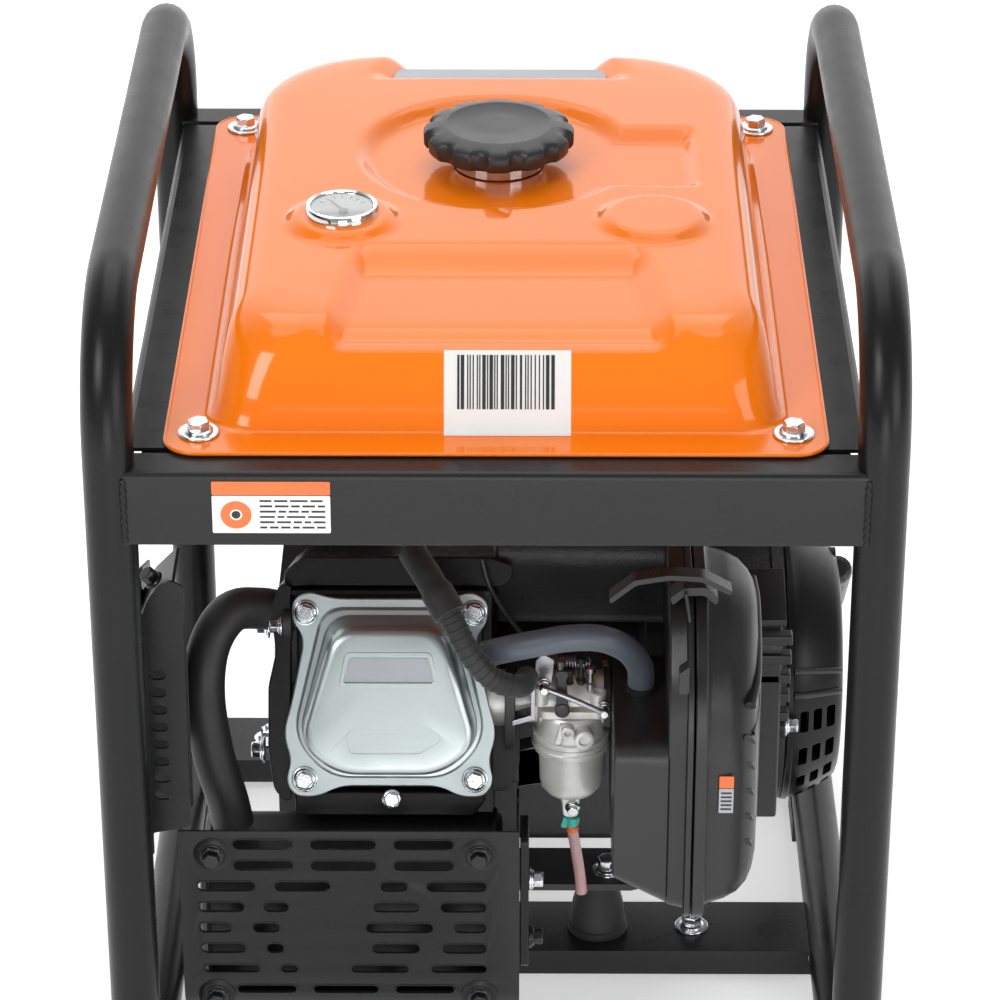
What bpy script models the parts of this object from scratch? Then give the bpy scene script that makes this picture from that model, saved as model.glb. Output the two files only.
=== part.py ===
"""Portable open-frame generator: tube frame, pressed fuel tank, single-cylinder engine and alternator.

Run with: blender --background --python part.py
Sizes below are millimetres; the helpers turn them into Blender's metres. +Z is up, the valve cover
and carburettor side faces -Y, and the recoil starter is at +X. The origin is the middle of the
footprint, on the surface that the feet stand on.
"""

import math

import bmesh
import bpy
from mathutils import Matrix, Vector

MM = 0.001
GAP = 0.3  # running and seating gap between neighbouring solids

# Driving dimensions
TUBE_R = 12.7
TUBE_WALL = 1.5
LOOP_X = 186.6  # centre plane of each side loop
LOOP_Y = 215.6  # centre of the uprights
LOOP_TOP = 483.4
FOOT_H = 8.0
LOOP_BOTTOM = FOOT_H + TUBE_R
BEND_FRONT, BEND_REAR, BEND_BASE = 67.0, 56.0, 62.0

BEAM_TOP, BEAM_H, BEAM_D, SHEET = 411.5, 40.0, 22.0, 2.0
BEAM_FACE_Y = 226.0
CRADLE_IN, CRADLE_OUT, CRADLE_Y = 135.0, 182.0, 199.0

TANK_X, TANK_FRONT, TANK_REAR = 161.3, -208.5, 206.9
FLANGE_Z = 412.9  # underside of the upper shell's flange
TANK_SHEET = 0.8
DOME_TOP = 462.0
PAN_FLOOR = 335.0
TANK_BOLTS = ((-144.8, -187.7), (144.8, -187.7), (-144.8, 189.0), (144.8, 189.0))
FILLER = (0.0, 44.0)
GAUGE = (-80.0, -40.0)

CRANK_Y, CRANK_Z = 34.0, 155.0
CYLINDER_X = -56.0
CYLINDER_LEAN = math.radians(-25.0)  # tilts the cylinder's -Y axis up from the horizontal
DECK, HEAD_TOP, COVER_TOP = 118.0, 170.0, 200.0  # distances from the crankshaft along the cylinder
SHAFT_R = 12.5

HOUSING_OUT, HOUSING_R = 158.0, 76.0
RECOIL_OUT, RECOIL_R = 190.0, 78.0
HANDLE_Y, HANDLE_Z = CRANK_Y + 32.0, CRANK_Z + 32.0

MEMBER_TOP = 24.7
FRONT_MEMBER, REAR_MEMBER = (-64.8, -15.6), (134.9, 183.9)

for leftover in list(bpy.data.objects):
    bpy.data.objects.remove(leftover, do_unlink=True)


# ---------------------------------------------------------------- materials and objects

FINISHES = {
    "black_paint": ((0.02, 0.02, 0.022), 0.38, 0.0),
    "orange_paint": ((0.95, 0.22, 0.02), 0.25, 0.0),
    "cast_black": ((0.03, 0.03, 0.03), 0.55, 0.2),
    "aluminium": ((0.62, 0.62, 0.60), 0.42, 1.0),
    "pressed_silver": ((0.78, 0.78, 0.75), 0.30, 1.0),
    "zinc": ((0.75, 0.76, 0.78), 0.28, 1.0),
    "steel": ((0.5, 0.5, 0.52), 0.35, 1.0),
    "copper": ((0.72, 0.38, 0.22), 0.35, 1.0),
    "rubber": ((0.015, 0.015, 0.015), 0.75, 0.0),
    "black_plastic": ((0.02, 0.02, 0.022), 0.45, 0.0),
    "grey_hose": ((0.16, 0.18, 0.21), 0.5, 0.0),
    "pink_hose": ((0.75, 0.52, 0.52), 0.3, 0.0),
    "red_plastic": ((0.7, 0.03, 0.02), 0.4, 0.0),
    "foam": ((0.25, 0.24, 0.2), 0.9, 0.0),
    "clear": ((0.9, 0.93, 0.93), 0.05, 0.0),
}


def material_for(name, finish):
    """A Principled material of the object's own, in one of the finishes."""
    colour, roughness, metallic = FINISHES[finish]
    made = bpy.data.materials.new(name + "_" + finish)
    made.use_nodes = True
    shader = made.node_tree.nodes["Principled BSDF"]
    shader.inputs["Base Color"].default_value = (*colour, 1.0)
    shader.inputs["Roughness"].default_value = roughness
    shader.inputs["Metallic"].default_value = metallic
    return made


def make(name, shape, finish, origin=(0, 0, 0), parent=None):
    """Turns a bmesh in millimetres into a named object whose origin is at the point given."""
    bmesh.ops.translate(shape, verts=shape.verts, vec=-Vector(origin))
    bmesh.ops.scale(shape, verts=shape.verts, vec=(MM, MM, MM))
    bmesh.ops.recalc_face_normals(shape, faces=shape.faces)
    mesh = bpy.data.meshes.new(name)
    shape.to_mesh(mesh)
    shape.free()
    mesh.shade_smooth()
    mesh.set_sharp_from_angle(angle=math.radians(35))
    thing = bpy.data.objects.new(name, mesh)
    thing.location = Vector(origin) * MM
    bpy.context.scene.collection.objects.link(thing)
    if parent:
        thing.parent = parent
    if finish:
        mesh.materials.append(material_for(name, finish))
    return thing


def helper(shape, parent=None):
    """A cutter or an added volume: used by Booleans and left out of the model."""
    thing = make("helper", shape, None, parent=parent)
    thing.hide_render = True
    thing.display_type = "WIRE"
    return thing


def combine(thing, shapes, operation):
    for shape in shapes:
        step = thing.modifiers.new(operation.lower(), "BOOLEAN")
        step.object = helper(shape, thing.parent)
        step.operation = operation
    return thing


def cut(thing, *shapes):
    return combine(thing, shapes, "DIFFERENCE")


def weld(thing, *shapes):
    return combine(thing, shapes, "UNION")


def bevelled(thing, width, segments=2):
    step = thing.modifiers.new("bevel", "BEVEL")
    step.width = width * MM
    step.segments = segments
    step.angle_limit = math.radians(40)
    return thing


# ---------------------------------------------------------------- shapes, as bmesh in millimetres


def loft(rings, closed=False):
    """Skins a list of rings that have the same number of points, with flat ends unless closed."""
    shape = bmesh.new()
    rows = [[shape.verts.new(point) for point in ring] for ring in rings]
    pairs = list(zip(rows, rows[1:]))
    if closed:
        pairs.append((rows[-1], rows[0]))
    else:
        shape.faces.new(rows[0][::-1])
        shape.faces.new(rows[-1])
    count = len(rows[0])
    for low, high in pairs:
        for i in range(count):
            j = (i + 1) % count
            shape.faces.new((low[i], low[j], high[j], high[i]))
    return shape


def block(low, high):
    corners = ((0, 0), (1, 0), (1, 1), (0, 1))
    ends = (low, high)
    return loft([[(ends[a][0], ends[b][1], ends[c][2]) for a, b in corners] for c in (0, 1)])


def prism(outline, axis, low, high):
    """Extrudes an outline of two coordinates along X, Y or Z."""
    place = {"X": lambda a, b, h: (h, a, b), "Y": lambda a, b, h: (a, h, b), "Z": lambda a, b, h: (a, b, h)}
    return loft([[place[axis](a, b, h) for a, b in outline] for h in (low, high)])


def arc(centre, radius, start, end, steps):
    angles = [math.radians(start + (end - start) * i / steps) for i in range(steps + 1)]
    return [(centre[0] + radius * math.cos(t), centre[1] + radius * math.sin(t)) for t in angles]


def round_rect(x0, x1, y0, y1, radius, steps=4):
    corners = ((x1, y1, 0), (x0, y1, 90), (x0, y0, 180), (x1, y0, 270))
    points = []
    for x, y, start in corners:
        inset_x = x - radius if x == x1 else x + radius
        inset_y = y - radius if y == y1 else y + radius
        points += arc((inset_x, inset_y), radius, start, start + 90, steps)
    return points


def frame_of(axis):
    """Two unit vectors square to an axis."""
    axis = Vector(axis).normalized()
    side = axis.orthogonal().normalized()
    return axis, side, axis.cross(side)


def ring(centre, axis, radius, count):
    _, side, up = frame_of(axis)
    turns = [2 * math.pi * i / count for i in range(count)]
    return [tuple(Vector(centre) + radius * (math.cos(t) * side + math.sin(t) * up)) for t in turns]


def rod(start, end, radius, count=16, end_radius=None):
    axis = Vector(end) - Vector(start)
    radii = (radius, radius if end_radius is None else end_radius)
    return loft([ring(start, axis, radii[0], count), ring(end, axis, radii[1], count)])


def turned(profile, base, axis, count=24, closed=False):
    """A turned piece: (radius, distance along the axis) pairs, as a stack with ends or a closed ring."""
    way = Vector(axis).normalized()
    rings = [ring(Vector(base) + way * height, way, radius, count) for radius, height in profile]
    return loft(rings, closed)


def swept_loop(path, normal, radius, count):
    """A closed tube along a flat closed path."""
    rings = []
    normal = Vector(normal)
    for i, point in enumerate(path):
        along = Vector(path[(i + 1) % len(path)]) - Vector(path[i - 1])
        side = along.normalized().cross(normal)
        turns = [2 * math.pi * k / count for k in range(count)]
        rings.append(
            [tuple(Vector(point) + radius * (math.cos(t) * side + math.sin(t) * normal)) for t in turns]
        )
    return loft(rings, closed=True)


def smooth_path(points, per_span):
    """Points of a Catmull-Rom curve through the route's own points."""
    route = [Vector(p) for p in points]
    route = [2 * route[0] - route[1]] + route + [2 * route[-1] - route[-2]]
    made = []
    for a, b, c, d in zip(route, route[1:], route[2:], route[3:]):
        for i in range(per_span):
            t = i / per_span
            made.append(
                0.5 * (2 * b + (c - a) * t + (2 * a - 5 * b + 4 * c - d) * t * t + (3 * b - a - 3 * c + d) * t**3)
            )
    return made + [route[-2]]


def tube(name, points, radius, finish, per_span=3, sides=3):
    """A round tube along a smooth route, as a poly curve with a bevel and filled caps."""
    route = smooth_path(points, per_span)
    curve = bpy.data.curves.new(name, "CURVE")
    curve.dimensions = "3D"
    spline = curve.splines.new("POLY")
    spline.points.add(len(route) - 1)
    for knot, point in zip(spline.points, route):
        knot.co = (*(point * MM), 1.0)
    curve.bevel_depth = radius * MM
    curve.bevel_resolution = sides
    curve.use_fill_caps = True
    curve.materials.append(material_for(name, finish))
    thing = bpy.data.objects.new(name, curve)
    bpy.context.scene.collection.objects.link(thing)
    return thing


# ---------------------------------------------------------------- frame


def loop_path(x):
    y = LOOP_Y
    route = arc((-y + BEND_FRONT, LOOP_TOP - BEND_FRONT), BEND_FRONT, 180, 90, 5)
    route += arc((y - BEND_REAR, LOOP_TOP - BEND_REAR), BEND_REAR, 90, 0, 5)
    route += arc((y - BEND_BASE, LOOP_BOTTOM + BEND_BASE), BEND_BASE, 0, -90, 5)
    route += arc((-y + BEND_BASE, LOOP_BOTTOM + BEND_BASE), BEND_BASE, 270, 180, 5)
    return [(x, a, b) for a, b in route]


def frame_loop(name, x):
    """A bent steel tube, hollow, with one vent hole under its bottom rail."""
    path = loop_path(x)
    loop = make(name, swept_loop(path, (1, 0, 0), TUBE_R, 16), "black_paint")
    hollow = swept_loop(path, (1, 0, 0), TUBE_R - TUBE_WALL, 10)
    return cut(loop, hollow, rod((x, 0, 2), (x, 0, LOOP_BOTTOM), 3, 8))


def loops_clearance():
    """What is coped or saddled to the side loops is cut by their tubes, a gap larger."""
    return [swept_loop(loop_path(side * LOOP_X), (1, 0, 0), TUBE_R + GAP, 16) for side in (-1, 1)]


def cross_beam(name, facing):
    """A channel between the uprights, its web outwards and its ends coped round the tubes."""
    web, lip = facing * BEAM_FACE_Y, facing * (BEAM_FACE_Y - BEAM_D)
    inner = facing * (BEAM_FACE_Y - SHEET)
    low, high = BEAM_TOP - BEAM_H, BEAM_TOP
    outline = (
        (web, low), (lip, low), (lip, low + SHEET), (inner, low + SHEET),
        (inner, high - SHEET), (lip, high - SHEET), (lip, high), (web, high),
    )  # (Y, Z)
    beam = make(name, prism(outline, "X", -LOOP_X + 4, LOOP_X - 4), "black_paint")
    return cut(beam, *loops_clearance())


def cradle_rail(name, side):
    """An angle that carries the tank's flange, with a tab under each cross beam."""
    top, plate, edge = BEAM_TOP, BEAM_TOP - SHEET, BEAM_TOP - 24
    outline = [(CRADLE_IN, plate), (CRADLE_OUT - SHEET, plate), (CRADLE_OUT - SHEET, edge), (CRADLE_OUT, edge)]
    outline += arc((CRADLE_OUT - 4, top - 4), 4, 0, 90, 3) + [(CRADLE_IN, top)]
    outline = [(side * x, z) for x, z in outline]
    rail = make(name, prism(outline, "Y", -CRADLE_Y, CRADLE_Y), "black_paint")
    tab_low, tab_high, reach = plate - 2.6, plate - GAP, CRADLE_Y + 7
    tabs = (
        (-reach, tab_low), (-190, tab_low), (-190, plate + 0.7), (190, plate + 0.7), (190, tab_low),
        (reach, tab_low), (reach, tab_high), (198, tab_high), (198, top - 0.5),
        (-198, top - 0.5), (-198, tab_high), (-reach, tab_high),
    )
    weld(rail, prism(tabs, "X", *sorted((side * 138, side * 172))))
    holes = [rod((x, y, 390), (x, y, 430), 3.6, 12) for x, y in TANK_BOLTS if x * side > 0]
    return cut(rail, *holes)


def cross_member(name, span):
    """A shallow channel across the base, its ends coped over the bottom rails."""
    y0, y1 = span
    top, low = MEMBER_TOP, 9.2
    outline = (
        (y0, low), (y0 + SHEET, low), (y0 + SHEET, top - SHEET), (y1 - SHEET, top - SHEET),
        (y1 - SHEET, low), (y1, low), (y1, top), (y0, top),
    )
    member = make(name, prism(outline, "X", -LOOP_X + 8, LOOP_X - 8), "black_paint")
    return cut(member, *loops_clearance())


def foot(name, x, y):
    """A rubber pad saddled round the underside of the bottom rail."""
    pad = make(name, block((x - TUBE_R, y - 20, 0), (x + TUBE_R, y + 20, 14)), "rubber")
    return cut(pad, *loops_clearance())


def build_frame():
    frame_loop("frame_loop_left", -LOOP_X)
    frame_loop("frame_loop_right", LOOP_X)
    cross_beam("front_beam", -1)
    cross_beam("rear_beam", 1)
    cradle_rail("cradle_rail_left", -1)
    cradle_rail("cradle_rail_right", 1)
    cross_member("front_cross_member", FRONT_MEMBER)
    cross_member("rear_cross_member", REAR_MEMBER)
    for depth, y in (("front", -122), ("rear", 105)):
        for side, x in (("left", -LOOP_X), ("right", LOOP_X)):
            foot(f"foot_{depth}_{side}", x, y)


# ---------------------------------------------------------------- fuel tank


def tank_ring(inset, z, radius, steps=4):
    outline = round_rect(-TANK_X + inset, TANK_X - inset, TANK_FRONT + inset, TANK_REAR - inset, radius, steps)
    return [(x, y, z) for x, y in outline]


def tank_shell(name, levels, finish):
    """A pressed half of the tank: (inset, height, corner radius) down the outside, then back inside."""
    return make(name, loft([tank_ring(*level) for level in levels]), finish)


def build_tank():
    flange_top = FLANGE_Z + TANK_SHEET
    upper = tank_shell(
        "tank_upper_shell",
        (
            (40, DOME_TOP - TANK_SHEET - 0.6, 34), (31, DOME_TOP - 8, 30), (25.5, FLANGE_Z, 24),
            (0, FLANGE_Z, 16), (0, flange_top, 16), (24, flange_top, 24), (30, DOME_TOP - 7, 30),
            (40, DOME_TOP, 34),
        ),
        "orange_paint",
    )
    lower_top = FLANGE_Z - GAP
    lower = tank_shell(
        "tank_lower_shell",
        (
            (43, PAN_FLOOR + TANK_SHEET, 30), (32, PAN_FLOOR + 14, 26), (29, lower_top, 22), (0, lower_top, 16),
            (0, lower_top - TANK_SHEET, 16), (28, lower_top - TANK_SHEET, 23), (31, PAN_FLOOR + 14, 26),
            (42, PAN_FLOOR, 30),
        ),
        "orange_paint",
    )
    filler_hole = rod((*FILLER, 440), (*FILLER, 480), 24.6, 24)
    gauge_hole = rod((*GAUGE, 440), (*GAUGE, 480), 12, 16)
    cut(upper, filler_hole, gauge_hole)
    for shell in (upper, lower):
        cut(shell, *(rod((x, y, 405), (x, y, 420), 3.6, 12) for x, y in TANK_BOLTS))

    neck = ((24, 0), (24, 6.2), (26, 7.0), (26, 8.6), (21.5, 8.6), (21.5, 0))
    make("filler_neck", turned(neck, (*FILLER, 456.2), (0, 0, 1), 24, closed=True), "zinc")

    core = ((20.5, 0), (20.5, 10.0), (16.5, 10.0), (16.5, 0))
    make("fuel_cap_core", turned(core, (*FILLER, 455.5), (0, 0, 1), 20, closed=True), "rubber", (*FILLER, 455.5))
    knob = ((29, 10.6), (30, 0), (34, 0), (39.5, 1.5), (40, 3.5), (40, 9), (37.5, 12), (30, 13.4))
    knob_piece = turned(knob, (*FILLER, 465.9), (0, 0, 1), 36)
    make("fuel_cap_knob", knob_piece, "black_plastic", (*FILLER, 465.9))

    gauge = ((11, -20), (11, 0.6), (19, 0.6), (19, 8.2), (16.5, 8.2), (16.5, 4.2))
    make("fuel_gauge_body", turned(gauge, (*GAUGE, 461.8), (0, 0, 1), 28), "zinc")
    make("fuel_gauge_lens", rod((*GAUGE, 468.5), (*GAUGE, 469.8), 16, 24), "clear")

    bolt = ((3, 405), (3, 414.0), (10, 414.0), (10, 415.3), (5.4, 415.3), (5.4, 419.6), (4.6, 420.2))
    for x, y in TANK_BOLTS:
        place = f"{'front' if y < 0 else 'rear'}_{'left' if x < 0 else 'right'}"
        make(f"tank_bolt_{place}", turned(bolt, (x, y, 0), (0, 0, 1), 12), "zinc")


# ---------------------------------------------------------------- engine

lean = bpy.data.objects.new("cylinder_axis", None)
bpy.context.scene.collection.objects.link(lean)
lean.location = Vector((CYLINDER_X, CRANK_Y, CRANK_Z)) * MM
lean.rotation_euler = (CYLINDER_LEAN, 0, 0)
LEAN_MATRIX = Matrix.Translation((CYLINDER_X, CRANK_Y, CRANK_Z)) @ Matrix.Rotation(CYLINDER_LEAN, 4, "X")


def leaned(shape):
    """Moves a shape made in the cylinder's own axes (cylinder along -Y) to its place in the engine."""
    bmesh.ops.transform(shape, matrix=LEAN_MATRIX, verts=shape.verts)
    return shape


def on_crank(x):
    return (x, CRANK_Y, CRANK_Z)


def crank_rod(x0, x1, radius, count=20):
    return rod(on_crank(x0), on_crank(x1), radius, count)


def crank_turned(profile, count=32, closed=False):
    return turned([(r, x) for r, x in profile], on_crank(0), (1, 0, 0), count, closed)


def cover_ring(half_x, half_z, y, radius, steps=4):
    return [(x, y, z) for x, z in round_rect(-half_x, half_x, -half_z, half_z, radius, steps)]


def build_engine():
    case = prism(round_rect(-36, 110, 65, 215, 18, 3), "X", -110, -2)
    block_piece = make("engine_block", case, "cast_black")
    weld(block_piece, leaned(block((-46, -DECK, -46), (46, -30, 46))))
    fins = [leaned(block((-51, y, -51), (51, y + 3, 51))) for y in (-88, -100, -112)]
    weld(block_piece, *fins)
    cavity = crank_rod(-112, -14, 45)
    bore = leaned(rod((0, -DECK - 5, 0), (0, -20, 0), 34, 24))
    dipstick_hole = rod((-30, 55, 92), (-30, 120, 92), 4.6, 12)
    cut(block_piece, cavity, bore, crank_rod(-20, 2, SHAFT_R + GAP), dipstick_hole)

    side = prism(round_rect(-32, 106, 69, 211, 16, 3), "X", -122, -110 - GAP)
    cut(make("crankcase_cover", side, "aluminium"), crank_rod(-130, -100, SHAFT_R + GAP))

    head = block((-49, -HEAD_TOP, -50), (49, -DECK - GAP, 50))
    bevelled(make("cylinder_head", head, "cast_black", parent=lean), 5)

    flange = HEAD_TOP + GAP
    levels = (
        (40, 40, -COVER_TOP + 1.2, 12), (45, 45, -flange - 6, 12), (47, 46, -flange, 12), (55, 53, -flange, 10),
        (55, 53, -flange - 1.2, 10), (48, 47, -flange - 1.2, 12), (46, 46, -flange - 7, 12),
        (41, 41, -COVER_TOP, 12),
    )
    cover = loft([cover_ring(a, b, y, radius) for a, b, y, radius in levels])
    make("valve_cover", cover, "pressed_silver", parent=lean)


def build_rotating():
    """Crankshaft with its throw, and the alternator's rotor cup with the cooling fan's blades."""
    shaft = make("crankshaft", crank_rod(-38, 156, SHAFT_R), "steel", on_crank(0))
    pin_low = (-80, CRANK_Y, CRANK_Z + 20)
    weld(
        shaft, crank_rod(-46, -37, 36), crank_rod(-86, -77, 36), crank_rod(-126, -85, SHAFT_R),
        rod(pin_low, (-42, CRANK_Y, CRANK_Z + 20), 11, 16),
    )
    cup = (
        (SHAFT_R + GAP, 94), (SHAFT_R + GAP, 118), (22, 118), (22, 100), (66, 100), (66, 60), (59, 60), (59, 94),
    )
    rotor = make("alternator_rotor", crank_turned(cup, 32, closed=True), "steel", on_crank(80))
    blades = []
    for i in range(8):
        blade = block((99, -1.5, 40), (126, 1.5, 68))
        turn = Matrix.Translation(on_crank(0)) @ Matrix.Rotation(math.radians(45 * i), 4, "X")
        bmesh.ops.transform(blade, matrix=turn, verts=blade.verts)
        blades.append(blade)
    weld(rotor, *blades)
    stator = ((16, -2 + GAP), (16, 90), (56, 90), (56, 64), (30, 64), (30, -2 + GAP))
    make("alternator_stator", crank_turned(stator, 28, closed=True), "copper")


def build_starter():
    drum = ((HOUSING_R - 3, 60), (HOUSING_R - 3, HOUSING_OUT), (HOUSING_R, HOUSING_OUT), (HOUSING_R, 60))
    make("fan_housing", crank_turned(drum, 40, closed=True), "black_plastic")
    inner, face = RECOIL_R - 3, RECOIL_OUT - 3.2
    start = HOUSING_OUT + GAP
    shell = (
        (55, face), (62, 178), (inner, 166), (inner, start), (RECOIL_R, start), (RECOIL_R, 167),
        (68, 182), (60, RECOIL_OUT),
    )
    cover = make("recoil_cover", crank_turned(shell, 40), "black_plastic")
    grip = Vector((0, -1, 1)).normalized()
    middle = Vector((RECOIL_OUT, HANDLE_Y, HANDLE_Z))
    across = Vector((0, 1, 1)).normalized()
    corners = ((-38, -12), (38, -12), (38, 12), (-38, 12))
    ends = [Vector((x, HANDLE_Y, HANDLE_Z)) for x in (177.5, RECOIL_OUT - 1.5)]
    pocket = loft([[tuple(end + grip * a + across * b) for a, b in corners] for end in ends])
    weld(cover, pocket, crank_rod(163, RECOIL_OUT - 1.5, 5.5, 12))
    slots = []
    for x in (168, 175, 182):
        for angle in (-64, -46, -28, -10):
            slot = block((x - 2.2, -6, -RECOIL_R - 4), (x + 2.2, 6, -RECOIL_R + 22))
            turn = Matrix.Translation(on_crank(0)) @ Matrix.Rotation(math.radians(angle), 4, "X")
            bmesh.ops.transform(slot, matrix=turn, verts=slot.verts)
            slots.append(slot)
    cut(cover, rod(middle - grip * 35, middle + grip * 35, 9.4, 16), *slots)

    hub = ((5.5 + GAP, 165), (5.5 + GAP, 175), (42, 175), (42, 172), (36, 170), (42, 168), (42, 165))
    make("recoil_pulley", crank_turned(hub, 28, closed=True), "steel", on_crank(170))
    handle = rod(middle - grip * 32, middle + grip * 32, 8.4, 16)
    bevelled(make("recoil_handle", handle, "black_plastic", middle), 3)


def build_ignition():
    boot = ((-44, -112, 306), (-35, -126, 298), (-24, -139, 284))
    tube("spark_plug_boot", boot, 7.5, "rubber", 2)
    lead = ((-23.2, -140.3, 282.6), (-14, -147, 266), (-2, -148, 251), (12, -142, 243), (16, -130, 242))
    tube("spark_plug_lead", lead, 4.5, "rubber", 3)


def build_exhaust():
    pipe = (
        (-106.5, -88, 256), (-114, -88.4, 256.4), (-124, -93, 261), (-139, -104, 265), (-150, -116, 252), (-153, -126, 228),
        (-149, -133, 198), (-142, -138, 172), (-139, -139, 156),
    )
    tube("exhaust_pipe", pipe, 11, "cast_black", 2)
    outline = round_rect(-176, -104, 64, 151, 20, 4)
    muffler = make("muffler_body", prism(outline, "X", -155, 3), "cast_black")
    shell_wall = 1.6
    inside = round_rect(-176 + shell_wall, -104 - shell_wall, 64 + shell_wall, 151 - shell_wall, 18, 4)
    outlet = rod((-160, -128, 90), (-150, -128, 90), 8, 16)
    cut(muffler, prism(inside, "X", -155 + shell_wall, 3 - shell_wall), outlet)

    guard_y, thick, floor = -186.0, 1.4, 54.0
    outer = [(guard_y, 182)] + arc((guard_y + 34, floor + 34), 34, 180, 262, 6)
    inner = arc((guard_y + 34, floor + 34), 34 - thick, 262, 180, 6) + [(guard_y + thick, 182)]
    guard = make("muffler_guard", prism(outer + inner, "X", -164, 12), "black_paint")
    weld(guard, block((12 - thick, guard_y + 0.5, 84), (11.9, guard_y + 36, 178)))
    long_row = ((-136, -105), (-96, -62), (-53, -22))
    short_row = ((-155, -125), (-115, -86), (-62, -46), (-34, -5))
    slots = []
    for i in range(8):
        z = 174 - 12.9 * i
        for x0, x1 in long_row if i < 2 or i == 7 else short_row:
            slots.append(block((x0, guard_y - 5, z - 2.2), (x1, guard_y + 5, z + 2.2)))
    cut(guard, *slots)

    edge = [(-181, 196), (-157, 190), (-157, 326), (-164, 331), (-173, 322), (-181, 303)]
    shield = make("exhaust_side_shield", prism(edge, "Y", -186, -184.6), "black_paint")
    weld(shield, block((-180.9, -185, 197), (-179.5, -110, 300)), block((-176, -185.9, 168), (-166, -184.7, 200)))
    holes = [rod((-171, -190, z), (-171, -180, z), 3.2, 10) for z in (204 + 10.2 * i for i in range(8))]
    cut(shield, *holes)


def build_carburettor():
    y, z = -108, 216
    throat = make("carburetor_body", rod((-6.5 + GAP + 0.2, y, z), (56.5, y, z), 15, 20), "aluminium")
    weld(throat, prism(round_rect(23, 55, -128, -92, 6, 2), "Z", 197, 233))
    cut(throat, rod((-10, y, z), (60, y, z), 10, 16))
    bowl = ((2.2, 147), (2.6, 152), (5, 154), (5, 163), (15, 166), (18.4, 172), (18.6, 194), (20.5, 194), (20.5, 196.7))
    make("float_bowl", turned(bowl, (39, -112, 0), (0, 0, 1), 28), "aluminium")
    arm = [(29, 218), (39, 218), (36, 246), (30, 246)]
    lever = make("choke_lever", prism(arm, "Y", -131.5, -129.5), "black_plastic", (34, -130.5, 222))
    weld(lever, rod((34, -132.5, 222), (34, -128.3, 222), 4, 12))
    drain = ((39, -112, 146.7), (40, -112.4, 138), (42.5, -113.2, 122), (44.5, -114, 108), (45.5, -114, 97))
    tube("fuel_drain_hose", drain, 3, "pink_hose", 3, 2)
    breather = (
        (-5, -124, 252), (6, -136, 262), (20, -141, 268), (38, -142, 272), (54, -141, 271), (67, -136, 262),
        (74, -129, 248), (75, -126.5, 235.5),
    )
    tube("breather_hose", breather, 7, "grey_hose", 2)


def build_air_cleaner():
    y0, y1, z0, z1, split = -184, -84, 132, 232, 101
    wall = 2.5
    case = make("air_cleaner_case", prism(round_rect(y0, y1, z0, z1, 14, 3), "X", 60, split), "black_plastic")
    weld(case, prism(round_rect(-190, -76, 126, 304, 16, 3), "X", split - 4, split - 0.5))
    weld(case, prism(round_rect(-172, -84, 200, 296, 12, 3), "X", 86, split - 1))
    inside = prism(round_rect(y0 + wall, y1 - wall, z0 + wall, z1 - wall, 12, 3), "X", 60 + wall, split + 5)
    upper = prism(round_rect(-172 + wall, y1 - wall, 190, 296 - wall, 10, 3), "X", 86 + wall, split + 5)
    cut(case, inside, upper, rod((55, -108, 216), (75, -108, 216), 10, 16))
    edge = [(-190, -76, 126, 304, 16), (-187, -79, 129, 301, 20), (-178, -86, 138, 292, 24)]
    levels = [
        (edge[2], 129, 2.5), (edge[1], 116, 2.5), (edge[0], split + GAP, 3.5), (edge[0], split + GAP, 0),
        (edge[0], 108, 0), (edge[1], 120, 0), (edge[2], 135, 6),
    ]
    rings = []
    for (a, b, c, d, radius), x, inset in levels:
        rings.append([(x, p, q) for p, q in round_rect(a + inset, b - inset, c + inset, d - inset, radius, 3)])
    make("air_cleaner_cover", loft(rings), "black_plastic")
    foam = make("filter_element", prism(round_rect(-166, -92, 142, 286, 10, 2), "X", 89, 99), "foam")
    cut(foam, prism(round_rect(-150, -108, 160, 268, 8, 2), "X", 94, 105))


def build_mounting():
    """Rubber mounts on the cross members, and the steel bars that the engine's base is bolted to."""
    cone = ((17, MEMBER_TOP + GAP), (16, 36), (9.5, 56), (9.5, 60.2))
    for depth, y in (("front", -40), ("rear", 159)):
        for side, x in (("left", -115), ("right", 56)):
            make(f"engine_mount_{depth}_{side}", turned(cone, (x, y, 0), (0, 0, 1), 20), "rubber")
    make("engine_bracket_front", prism(round_rect(-132, 79, -58, -21, 5, 2), "Z", 60.5, 64.6), "steel")
    make("engine_bracket_rear", prism(round_rect(-132, 79, 98, 178, 5, 2), "Z", 60.5, 64.6), "steel")
    stick = ((4, 60), (4, 112.3), (13, 112.3), (13, 118), (10, 128), (6, 128))
    make("oil_dipstick", turned(stick, (-30, 0, 92), (0, 1, 0), 16), "red_plastic", (-30, 112.3, 92))


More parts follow.
